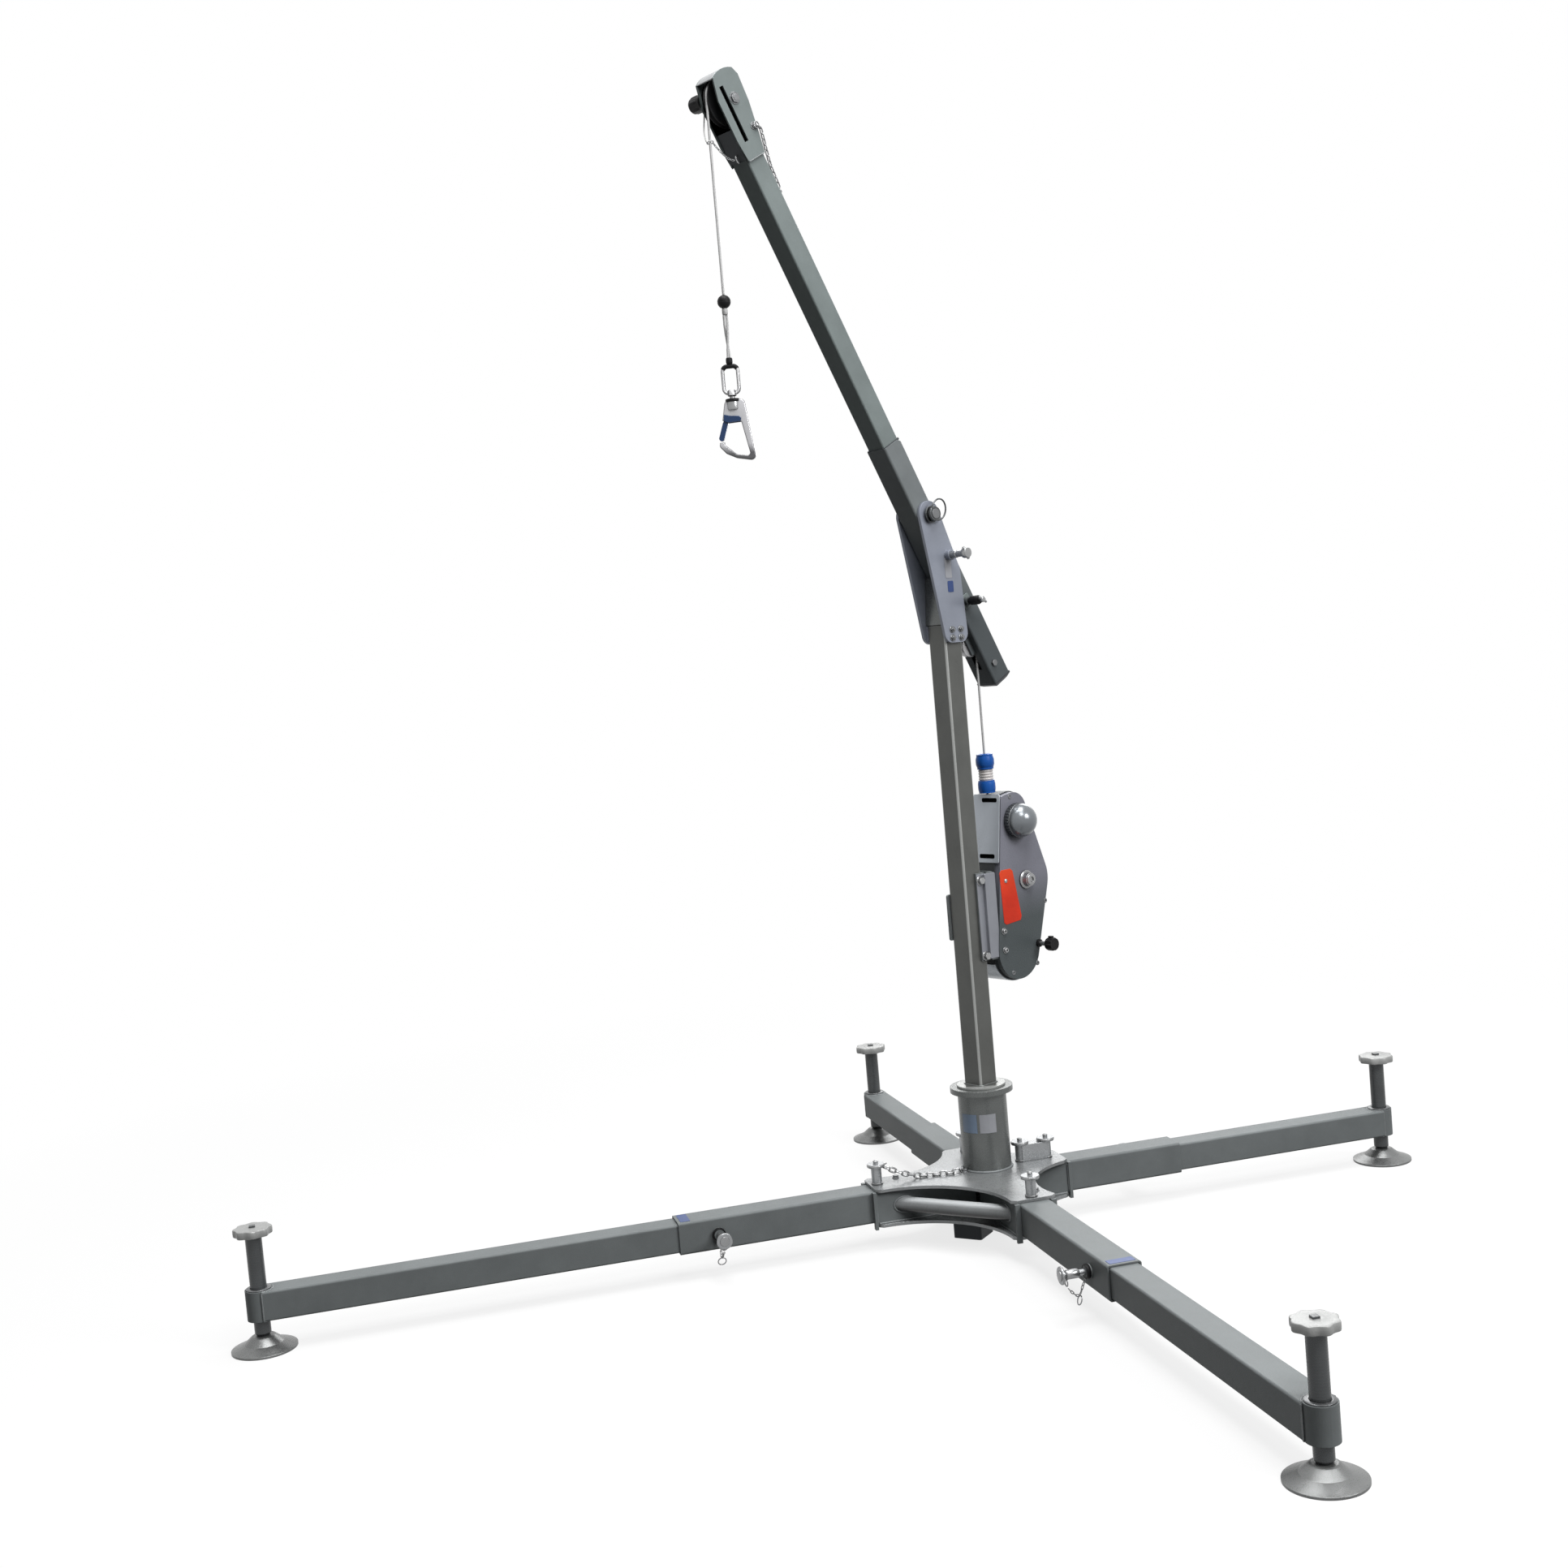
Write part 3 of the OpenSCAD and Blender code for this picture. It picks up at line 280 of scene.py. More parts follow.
MATS = {
    "frame": surface("frame_steel", (0.175, 0.19, 0.193), 0.02, 0.42, bump=0.18, wear_and_glint=0.4, specular=0.08),
    "boom": surface("boom_steel", (0.195, 0.225, 0.223), 0.02, 0.4, bump=0.18, specular=0.08),
    "tail": surface("outer_boom_steel", (0.185, 0.202, 0.207), 0.02, 0.4, bump=0.18, specular=0.08,
                    zones=TAIL_END_SHADE),
    "mast": surface("mast_steel", (0.15, 0.158, 0.155), 0.6, 0.26, bump=0.15, wear_and_glint=0.5, specular=0.25),
    "mast_tube": surface("mast_tube_steel", (0.115, 0.118, 0.112), 0.45, 0.34, bump=0.15, wear_and_glint=0.5,
                         specular=0.25, zones=corner_highlight_zones()),
    "hub": surface("hub_plate", (0.25, 0.26, 0.265), 0.5, 0.28, vary=0.2, bump=0.2, wear_and_glint=0.5),
    "skid": surface("skid_steel", (0.045, 0.05, 0.055), 0.1, specular=0.2),
    "brace": surface("brace_steel", (0.2, 0.21, 0.215), 0.1, 0.3, vary=0.16, zones=BRACE_HIGHLIGHT_AND_SHADE),
    "plate": surface("plate_aluminium", (0.235, 0.255, 0.305), 0.2, 0.38, vary=0.1, wear_and_glint=0.4),
    "pad": surface("pad_aluminium", (0.2, 0.205, 0.204), 0.65, 0.3, vary=0.2, bump=0.25, wear_and_glint=0.5),
    "wheel": surface("wheel_cast", (0.33, 0.335, 0.33), 0.2, 0.36, vary=0.16, grain=350, bump=0.25,
                     dirt_and_shade=0.6),
    "screw": surface("screw_steel", (0.07, 0.075, 0.078), 0.3, 0.24, vary=0.22, bump=0.2),
    "zinc": surface("zinc_pin", (0.36, 0.37, 0.38), 0.75, 0.28, vary=0.14, bump=0.15, dirt_and_shade=0.6),
    # The bright steel's dark edges are a painted reflection.
    "steel": surface("bright_steel", (0.34, 0.345, 0.35), 0.75, 0.22, vary=0.14, bump=0.1, dirt_and_shade=0.8,
                     wear_and_glint=0.7, edge_reflection_colour=(0.06, 0.06, 0.06)),
    "bolt": surface("bolt_steel", (0.17, 0.175, 0.18), 0.7, 0.32, vary=0.2, dirt_and_shade=0.6),
    "block": surface("block_paint", (0.205, 0.208, 0.245), 0.05, 0.42, vary=0.1, grain=420, bump=0.35,
                     specular=0.2, zones=BLOCK_LOW_SHADE),
    "block_dark": surface("case_paint", (0.06, 0.064, 0.068), 0.05, 0.45, grain=420, bump=0.35,
                          specular=0.2),
    "front": surface("front_aluminium", (0.5, 0.54, 0.59), 0.3, 0.34, vary=0.1),
    "bright": surface("guard_aluminium", (0.42, 0.45, 0.48), 0.5, 0.3, bump=0.14),
    "strip": surface("strip_aluminium", (0.25, 0.26, 0.29), 0.2, 0.38, vary=0.08, bump=0.14),
    "hood": surface("hood_aluminium", (0.36, 0.37, 0.38), 0.5, 0.3),
    "drum": surface("drum_aluminium", (0.42, 0.42, 0.43), 0.8, 0.28, vary=0.1),
    "dome": surface("dome_aluminium", (0.19, 0.205, 0.22), 0.5, 0.22, vary=0.08, bump=0.06, dirt_and_shade=0.6,
                    zones=DOME_BASE_SHADE),
    "black": surface("black_plastic", (0.01, 0.01, 0.011), 0.0, 0.42, vary=0.25, bump=0.3, wear_and_glint=0.2,
                     specular=0.12),
    # Near-black sheets that stand for shade in the block's slots and inside the boom head.
    "hollow": surface("painted_inside_shade", (0.004, 0.004, 0.004), 0.0, 0.8, vary=0.3, wear_and_glint=0.0, specular=0.0),
    "blue": surface("blue_plastic", (0.008, 0.085, 0.36), 0.0, 0.36, bump=0.15, wear_and_glint=0.25, specular=0.2),
    "gate": surface("blue_gate", (0.008, 0.035, 0.11), 0.2, 0.3, bump=0.1),
    "tape": surface("blue_band", (0.015, 0.045, 0.17), 0.0, 0.4, vary=0.15, bump=0.1),
    "orange": surface("orange_plate", (0.72, 0.04, 0.015), 0.0, 0.38, vary=0.22, bump=0.08, wear_and_glint=0.2,
                      specular=0.2, zones=ORANGE_TOP),
    "blank": surface("blank_label", (0.2, 0.27, 0.38), 0.0, 0.35, vary=0.16, bump=0.06, wear_and_glint=0.1),
    "blank_pale": surface("pale_label", (0.36, 0.37, 0.4), 0.0, 0.35, vary=0.14, bump=0.06, wear_and_glint=0.1),
    "white": surface("clear_buffer", (0.6, 0.57, 0.56), 0.0, 0.3, vary=0.08, bump=0.1, wear_and_glint=0.0, dirt_and_shade=0.5),
    "white_cord": surface("white_cord", (0.66, 0.66, 0.65), 0.0, 0.6, vary=0.08, grain=1800, bump=0.4,
                          wear_and_glint=0.0),
    "bush": surface("bush_plastic", (0.6, 0.57, 0.48), vary=0.08, bump=0.1),
    "wire": surface("cable_wire", (0.5, 0.5, 0.5), 0.1, 0.42, grain=1500, bump=0.3, dirt_and_shade=0.5, specular=0.2),
    "hook": surface("hook_steel", (0.6, 0.6, 0.62), 0.35, 0.24, vary=0.1, bump=0.1, dirt_and_shade=0.8,
                    zones=HOOK_UNDER_SHADE, reflection_rims=HOOK_RIM_REFLECTION),
    "eye": surface("eye_steel", (0.62, 0.62, 0.63), 0.35, 0.24, vary=0.1, bump=0.1, dirt_and_shade=0.8, reflection_rims=EYE_RIM_REFLECTION),
    "weld": surface("weld_metal", (0.22, 0.235, 0.24), 0.2, 0.4, vary=0.3, grain=260, bump=0.5, wear_and_glint=0.2,
                    specular=0.3),
}
CAD_NODES = {
    "hub": "hub_top_plate hub_bottom_plate", "brace": "hub_brace", "mast": "mast_sleeve",
    "frame": "hub_arms leg_outer_tubes block_bracket leg_inner_*", "bush": "sleeve_bushes",
    "skid": "skid_box boom_tail_cap", "pad": "foot_pad_*", "screw": "jack_screw_*",
    "zinc": "boom_plunger leg_pin_* hub_pin_*", "mast_tube": "mast_tube", "plate": "head_plates",
    "bolt": "plate_bolts tail_bolts boom_pivots head_rollers", "block": "block_cover",
    "block_dark": "block_case", "drum": "cable_drum tail_pulley", "dome": "hand_knob",
    "black": "lock_selector extension_pin head_pulley keeper_pin", "blue": "cable_bumpers",
    "tail": "boom_outer", "boom": "boom_inner head_cheeks", "hood": "head_hood", "wire": "rope_end",
    "eye": "hook_eye", "hook": "hook_body", "gate": "hook_gate",
}  # a star stands for each of the four legs
for key, names in CAD_NODES.items():
    for name in names.split():
        for k in LEGS if "*" in name else LEGS[:1]:
            slots = nodes[name.replace("*", k)].data.materials
            slots.clear()
            slots.append(MATS[key])


# shapes, each a list of points and a list of faces
def skin(rings, closed=False):
    """A tube through rings of points. Its ends are covered, or joined to each other when it is closed."""
    sides, count = len(rings[0]), len(rings)
    points = [p for level in rings for p in level]
    faces = []
    for i in range(count if closed else count - 1):
        one, two = i * sides, (i + 1) % count * sides
        for j in range(sides):
            k = (j + 1) % sides
            faces.append((one + j, one + k, two + k, two + j))
    if not closed:
        faces += [tuple(reversed(range(sides))), tuple(range(len(points) - sides, len(points)))]
    return points, faces


def merge(shapes):
    points, faces = [], []
    for more_points, more_faces in shapes:
        faces += [tuple(len(points) + i for i in face) for face in more_faces]
        points += more_points
    return points, faces


def sweep(points, radii, sides=10, closed=False, shape=lambda i, angle: (math.cos(angle), math.sin(angle))):
    """A round or shaped bar along points. The rings keep their turn from point to point."""
    points = [Vector(p) for p in points]
    count = len(points)
    if not isinstance(radii, list):
        radii = [radii] * count
    rings, across = [], None
    for i, p in enumerate(points):
        a = points[(i - 1) % count] if closed else points[max(i - 1, 0)]
        b = points[(i + 1) % count] if closed else points[min(i + 1, count - 1)]
        along = (b - a).normalized()
        if across is None:
            across = Vector((0, 1, 0)) if abs(along.y) < 0.9 else Vector((1, 0, 0))
        across = (across - across.dot(along) * along).normalized()
        other = along.cross(across)
        turns = [shape(i, 2 * math.pi * j / sides) for j in range(sides)]
        rings.append([p + radii[i] * (u * across + v * other) for u, v in turns])
    return skin(rings, closed)


def lathe(place, profile, sides=32, closed=False):
    """Turns a profile of (radius, height) pairs about Z of place."""
    rings = [[place @ Vector((*p, height)) for p in circle(radius, sides)] for radius, height in profile]
    return skin(rings, closed)


def ring(place, section, sides=32):
    """A ring about Z of place, from its section."""
    return lathe(place, section, sides, closed=True)


def slab(place, outline, low, high, inset=0.0):
    """A plate with the outline in X and Y from low to high, its upper edge drawn in by inset."""
    centre = sum((Vector(p) for p in outline), Vector((0, 0))) / len(outline)
    levels = [(low, 0.0), (high - inset, 0.0), (high, inset)] if inset else [(low, 0.0), (high, 0.0)]
    rings = []
    for height, step in levels:
        ways = [Vector(p) - centre for p in outline]
        flat = [centre + away * (1 - step / max(away.length, 1e-6)) for away in ways]
        rings.append([place @ Vector((*p, height)) for p in flat])
    return skin(rings)


def rounded(width, height, radius, steps=6):
    points = []
    for cx, cy, start in ((1, 1, 0), (-1, 1, 90), (-1, -1, 180), (1, -1, 270)):
        for i in range(steps + 1):
            x, y = polar(radius, start + 90 * i / steps)
            points.append((cx * (width / 2 - radius) + x, cy * (height / 2 - radius) + y))
    return points


def split_ring(place, radius, wire):
    return sweep(placed(place, circle(radius, 36)), wire, 8, closed=True)


def smooth_line(points, step):
    """Points a fixed step apart on a Catmull-Rom curve through the given ones."""
    points = [Vector(p) for p in points]
    fine = []
    for i in range(len(points) - 1):
        p0, p1, p2 = points[max(i - 1, 0)], points[i], points[i + 1]
        p3 = points[min(i + 2, len(points) - 1)]
        for t in (n / 24 for n in range(24)):
            fine.append(0.5 * ((2 * p1) + (p2 - p0) * t + (2 * p0 - 5 * p1 + 4 * p2 - p3) * t * t
                               + (3 * p1 - p0 - 3 * p2 + p3) * t ** 3))
    return even(fine + [points[-1]], step)


def even(points, step):
    """Points a fixed step apart along a line of points."""
    out, gone = [points[0]], 0.0
    for a, b in zip(points, points[1:]):
        length = (b - a).length
        while gone + length >= step:
            a = a + (b - a) * ((step - gone) / length) if length else b
            out.append(a.copy())
            length = (b - a).length
            gone = 0.0
        gone += length
    return out


def chain(points, link=15.0, wire=1.4, width=3.6):
    """Long links, each turned a quarter from the last, along a smooth line."""
    line = smooth_line(points, link - 2 * wire)
    half, radius = link / 2 - width, width - wire / 2
    end = [polar(radius, 30 * i) for i in range(7)]
    outline = [(side * x, 0, side * (half + z)) for side in (1, -1) for x, z in end]
    links = []
    for i, (a, b) in enumerate(zip(line, line[1:])):
        z = (b - a).normalized()
        x = UP if abs(z.z) < 0.9 else Vector((1, 0, 0))
        x = (x - x.dot(z) * z).normalized()
        if i % 2 == 0:
            x = x.cross(z)
        place = Matrix((x, z.cross(x), z)).transposed().to_4x4()
        place.translation = (a + b) / 2
        links.append(sweep([place @ Vector(p) for p in outline], wire, 6, closed=True))
    return merge(links)


def bead(points, radius, closed=False, step=2.6):
    """A weld bead: a lumpy bar along the seam."""
    line = even([Vector(p) for p in (list(points) + [points[0]] if closed else points)], step)
    if closed:
        line = line[:-1]
    radii = [radius * (0.9 + 0.16 * (i % 2) + 0.16 * noise.noise(p * 0.11)) for i, p in enumerate(line)]
    return sweep(line, radii, 8, closed=closed)


def bolt_head(place, width, height, washer=True):
    head = slab(place, circle(width / 2 / 0.9, 6), 1.6, height, 1.0)
    disc = [(width * 0.72, 0), (width * 0.72, 1.2), (width * 0.68, 1.6)]
    return merge([lathe(place, disc, 24), head]) if washer else head


def piece(name, material, body, place, *shapes, smooth=40, slot=None, weld=0.0):
    """Makes the shapes one object that rides on a body, and joins points closer than weld.

    Edges sharper than smooth degrees stay sharp."""
    points, faces = merge(shapes)
    mesh = bmesh.new()
    verts = [mesh.verts.new(p) for p in points]
    for face in faces:
        mesh.faces.new([verts[i] for i in face])
    if weld:
        bmesh.ops.remove_doubles(mesh, verts=mesh.verts, dist=weld)
    bmesh.ops.transform(mesh, matrix=METRES @ place, verts=mesh.verts)
    bmesh.ops.recalc_face_normals(mesh, faces=mesh.faces)
    for face in mesh.faces:
        face.smooth = True
    for edge in mesh.edges:
        edge.smooth = len(edge.link_faces) == 2 and edge.calc_face_angle(0) < math.radians(smooth)
    data = bpy.data.meshes.new(name)
    mesh.to_mesh(data)
    mesh.free()
    data.materials.append(MATS[material])
    made = add_object(name, data)
    if body:
        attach(made, body)
    return made


def maker(body, place):
    """A way to make pieces that ride on one body and are drawn in one frame."""
    return lambda name, material, *shapes: piece(name, material, body, place, *shapes)


on_mast = maker("mast", MAST)
on_boom = maker("boom", ON_BOOM)
on_head = maker("boom_extension", ON_BOOM)


# cables, on the CAD's own routes
ROPE_STEP, ROPE_LAY = 3.0, 38.0
LOW_ANGLE = 6.5  # the boom's cable ends this far below the head pulley's foremost point
PART_ANGLE = 1.6  # parts two stretches of the cable where they meet on a pulley


def boom_point(x, z):
    """A place in the boom's own X and Z, given in the mast's."""
    along, across = polar(1, BOOM_ANGLE)
    return Vector((PIVOT.x + x * along - z * across, PIVOT.z + x * across + z * along))


def arc(centre, radius, start, end, steps):
    return [centre + radius * Vector(polar(1, start + (end - start) * i / steps)) for i in range(steps + 1)]


GUIDE_R = ROLLER_R + ROPE_R + 0.3
tail_mid, head_mid = boom_point(*TAIL_WHEEL), boom_point(*HEAD_AT)
run_x, drop_x = tail_mid.x - TAIL_R, head_mid.x + HEAD_R
tail_way = math.atan2(ROLLER_AT.y - GUIDE_R - TAIL_WHEEL.y - TAIL_R, ROLLER_AT.x - TAIL_WHEEL.x)
head_way = HEAD_AT - ROLLER_AT
head_turn = math.asin((GUIDE_R + HEAD_R) / head_way.length)
head_angle = math.degrees(math.atan2(head_way.y, head_way.x) + head_turn)
across_way = Vector((-math.sin(tail_way), math.cos(tail_way)))
tail_angle = math.degrees(tail_way)
run_route = [Vector((run_x, DRUM_Z + 5)),
             *arc(tail_mid, TAIL_R, 180, BOOM_ANGLE + tail_angle + 90 + PART_ANGLE, 12)]
tail_exit = TAIL_WHEEL + TAIL_R * across_way
roller_entry = ROLLER_AT - GUIDE_R * across_way
boom_route = [*[tail_exit + (roller_entry - tail_exit) * i / 6 for i in range(6)],
              *arc(ROLLER_AT, GUIDE_R, tail_angle - 90, head_angle - 90, 8),
              *arc(HEAD_AT, HEAD_R, head_angle + 90, -LOW_ANGLE, 28)]
drop_foot = BALL_Z + BALL_D / 2 + 0.5
drop_route = [*arc(head_mid, HEAD_R, BOOM_ANGLE - LOW_ANGLE - PART_ANGLE / 2, 0, 18),
              *[Vector((drop_x, head_mid.y + t * (drop_foot - head_mid.y))) for t in (0.3, 0.6, 0.85, 1)]]


def laid(depth, twist):
    """The section of a laid rope: six lobes that turn by the twist, in radians, from ring to ring."""
    def section(i, angle):
        lobe = 1 - depth + depth * abs(math.cos(3 * (angle + twist * i)))
        return lobe * math.cos(angle), lobe * math.sin(angle)
    return section


def wire_rope(name, route, place, stands_for):
    """Strands laid round each other, as one lobed mesh, along a route in the X and Z plane."""
    line = even([Vector((p.x, 0, p.y)) for p in route], ROPE_STEP)
    end = Vector((route[-1].x, 0, route[-1].y))
    if (line[-1] - end).length > 0.5:
        line.append(end)
    rope = sweep(line, ROPE_R, 24, shape=laid(0.16, -2 * math.pi * ROPE_STEP / ROPE_LAY))
    made = piece(name, "wire", None, place, rope, slot="cable_wire")
    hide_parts(stands_for)
    path = [METRES @ place @ p for p in line]
    return made, path, sum((b - a).length for a, b in zip(path, path[1:]))


run_rope, run_path, run_length = wire_rope("rope_run", run_route, MAST, "cable_run")
boom_rope, boom_path, boom_length = wire_rope("rope_boom", boom_route, ON_BOOM, "cable_boom")
drop_rope, drop_path, drop_length = wire_rope("rope_drop", drop_route, MAST, "cable_drop")
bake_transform(run_rope)
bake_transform(boom_rope)
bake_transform(drop_rope)


# base
def add_hub_welds():
    seams = [bead(placed(at(0, 0, HUB_TOP + 1.5), circle(SLEEVE_R + 1.4)), 3.2, closed=True)]
    for k in LEGS:
        arm = turn(LEG_TURN[k])
        for side in (1, -1):
            low, high = (arm @ Vector((x, side * (CHEEK_OUT + 1), 0)) for x in (64, ARM_LEN[k] - 4))
            seams += [bead([low + z * UP, high + z * UP], 2.4) for z in (147.2, 68.8)]
            mouth = arm @ Vector((ARM_LEN[k] - 0.5, side * (CHEEK_OUT + 1.2), 0))
            seams.append(bead([mouth + z * UP for z in (72, 144)], 2.2))
    cheek = CHEEK_OUT * math.sqrt(2)
    for side in (1, -1):
        seam = [(BRACE_X + x, side * (BRACE_X + x - cheek), LEG_Z + z) for x, z in circle(BRACE_R, 30)]
        seams.append(bead(seam, 2.6, closed=True))
    seams.append(bead(placed(at(112, 0, 58.6), rounded(78, 78, 7)), 2.4, closed=True))
    piece("hub_welds", "weld", "base", ON_BASE, *seams)


def add_jack(k):
    """The welds and the ring of a jack's sleeve, and the thread and star wheel of its screw."""
    jack, leg, screw = at(REACH[k], 0, 0), f"leg_{k}", f"screw_{k}"
    half_round = [polar(32.6, a) for a in range(100, 261, 10)]
    seams = [[jack @ Vector((x, y, z)) for x, y in half_round] for z in (LEG_Z - 34.5, LEG_Z + 34.5)]
    seams += [[jack @ Vector((-6.5, y, z)) for z in (LEG_Z - 33, LEG_Z + 33)] for y in (-33.8, 33.8)]
    piece(f"jack_weld_{k}", "weld", leg, ON_LEG[k], *[bead(seam, 2.1) for seam in seams])
    section = [(19.8, 0), (27.5, 0), (29, 1.2), (29, 2.6), (27.5, 3.6), (19.8, 3.6)]
    top = jack @ at(0, 0, LEG_Z + 35.4)
    piece(f"jack_ring_{k}", "bolt", leg, ON_LEG[k], ring(top, section, 40))
    threads = [lathe(jack, thread_profile(low, high)) for low, high in ((45, 68), (148, 268))]
    piece(f"screw_thread_{k}", "screw", screw, ON_LEG[k], *threads)
    rim = [(0.3, 9.4), (0.4, 9.4), (0.46, 8.8), (0.84, 9.1), (0.95, 9.0), (1.0, 8.5), (1.02, 6.8),
           (1.026, 0.0), (1.02, -6.8), (1.0, -8.5), (0.95, -9.0), (0.5, -9.0)]
    star = []
    for share, height in rim:
        lobe = 2.2 if share > 0.7 else 0.0
        radii = [share * (STAR_R + lobe * math.cos(math.radians(30 * j))) for j in range(96)]
        star.append([(*polar(radius, 3.75 * j), height) for j, radius in enumerate(radii)])
    piece(f"star_wheel_{k}", "wheel", screw, ON_LEG[k] @ jack @ at(0, 0, STAR_Z), skin(star), smooth=50)


def thread_profile(low, high):
    """A trapezium thread, drawn as rings of which the radius goes up and down with the height."""
    count = int((high - low) / 1.5)
    profile = []
    for z in (low + (high - low) * i / count for i in range(count + 1)):
        wave = 2.2 * math.sin(2 * math.pi * (z / THREAD_PITCH % 1.0))
        profile.append((18.98 + 0.17 * max(-1, min(1, wave)), z))
    return profile


def add_lock_pin(k, x, side):
    """The disc head's rim, a collar at the boss, and the ring and short chain that hang from the pin."""
    outward = FACE_Y if side > 0 else turn(180) @ FACE_Y
    face, stem = at(x, side * 104.3, LEG_Z) @ outward, at(x, 0, LEG_Z) @ outward
    sleeve = [(7.3, 67.2), (9.6, 67.2), (10.6, 68.7), (10.6, 96), (9, 98), (7.3, 98)]
    collar = [(13.2, 43), (16, 43), (16.6, 44), (16.6, 51), (15.4, 52.6), (13.2, 52.6)]
    piece(f"lock_pin_trim_{k}", "steel", f"lock_{k}", ON_LEG[k],
          lathe(face, [(19.3, 0.6), (20, 1.6), (20, 4.6), (19.3, 5.6)], 36),
          lathe(face, [(12, 6), (11.4, 8), (5, 8.6), (1, 8.6)], 28),
          ring(stem, sleeve),
          split_ring(at(x, side * 97, LEG_Z - 17) @ turn(90, "X"), 8, 1.5))
    piece(f"lock_collar_{k}", "black", "base", ON_LEG[k], ring(stem, collar))
    sag = ((0, 52, -16), (2, 60, -30), (3, 70, -50), (2, 84, -42), (0, 97, -26))
    route = [Vector((x + dx, side * y, LEG_Z + dz)) for dx, y, dz in sag]
    made = piece(f"lock_lanyard_{k}", "steel", None, ON_LEG[k], chain(route, 10, 1.1, 2.7),
                 split_ring(at(x + 3, side * 70, LEG_Z - 60) @ turn(70, "X"), 10, 1.4))
    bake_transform(made)


def add_legs():
    for k in LEGS:
        pin_x, side = TUBE_END[k] - 98, PIN_SIDE[k]
        boss = placed(at(pin_x, side * 41, LEG_Z) @ FACE_Y, circle(14.2))
        piece(f"boss_weld_{k}", "weld", "base", ON_LEG[k], bead(boss, 2.2, closed=True))
        add_jack(k)
        add_lock_pin(k, pin_x, side)
    for k in ("fl", "fr"):
        band = slab(at(TUBE_END[k] - 20, 0, 148.1), rounded(25, 62, 3), 0, 0.5, 0.2)
        piece(f"blue_band_{k}", "tape", "base", ON_LEG[k], band)
    washer = [(14.2, 0), (15.2, 0.8), (15.2, 3.4), (14.2, 4.2), (13.1, 4.2), (13.1, 0)]
    for k in LEGS:
        trim = []
        for x in HUB_PINS[k]:
            top = at(x, 0, HUB_TOP + 44)
            trim += [lathe(top, [(22.4, 1.5), (23, 2.4), (23, 5.6), (22.4, 6.5)], 40),
                     lathe(top, [(6.6, 12), (6.6, 14.5), (3.5, 16.5), (1, 16.8)], 20),
                     ring(at(x, 0, HUB_TOP + 0.4), washer)]
        piece(f"hub_pin_trim_{k}", "steel", f"hubpin_{k}", ON_LEG[k], *trim)


def add_hub_chain():
    """The chain that keeps the front left hub pin with the hub, and the bolts on the hub."""
    pin = turn(LEG_TURN["fl"]) @ Vector((HUB_PINS["fl"][0], 0, 0))
    eye = Vector((66, -40, HUB_TOP + 7))
    route = [pin + Vector((-16, 12, HUB_TOP + 40))]
    for share, aside, height in ((0.3, 6, 18), (0.55, -6, 5), (0.8, 5, 5)):
        spot = pin.lerp(eye, share)
        route.append(Vector((spot.x, spot.y + aside, HUB_TOP + height)))
    route.append(eye)
    made = piece("hub_chain", "steel", None, ON_BASE, chain(route, 22, 2.5, 6.6))
    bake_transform(made)
    ring_at = at(*(pin + Vector((-10, 8, HUB_TOP + 42))))
    piece("hub_chain_ring", "steel", "hubpin_fl", ON_BASE, split_ring(ring_at @ turn(28.648, "X"), 17, 1.6))
    bolts = [bolt_head(at(eye.x - 6, eye.y + 4, HUB_TOP), 15, 8),
             split_ring(at(*eye) @ turn(68.755, "X"), 8, 1.5)]
    for k, x, y in (("fr", 262, 26), ("fl", 240, -26), ("br", 60, 26), ("bl", 60, 26)):
        bolts.append(bolt_head(turn(LEG_TURN[k]) @ at(x, y, HUB_TOP) @ turn(-LEG_TURN[k]), 13, 7))
    piece("hub_bolts", "bolt", "base", ON_BASE, *bolts)


def add_blank_labels():
    """Two blank labels on the sleeve: the photograph's lettering is left off."""
    heights = [258, 270, 282, 294, 306]
    section = [(SLEEVE_R + 0.05, z) for z in heights] + [(SLEEVE_R + 0.55, z) for z in reversed(heights)]
    for name, start, end, material in (("left", -14, 28, "blank"), ("right", 34, 74, "blank_pale")):
        angles = [start + (end - start) * i / 14 for i in range(15)]
        label = skin([[(*polar(radius, angle), z) for radius, z in section] for angle in angles])
        piece(f"blank_label_{name}", material, "base", MAST, label)


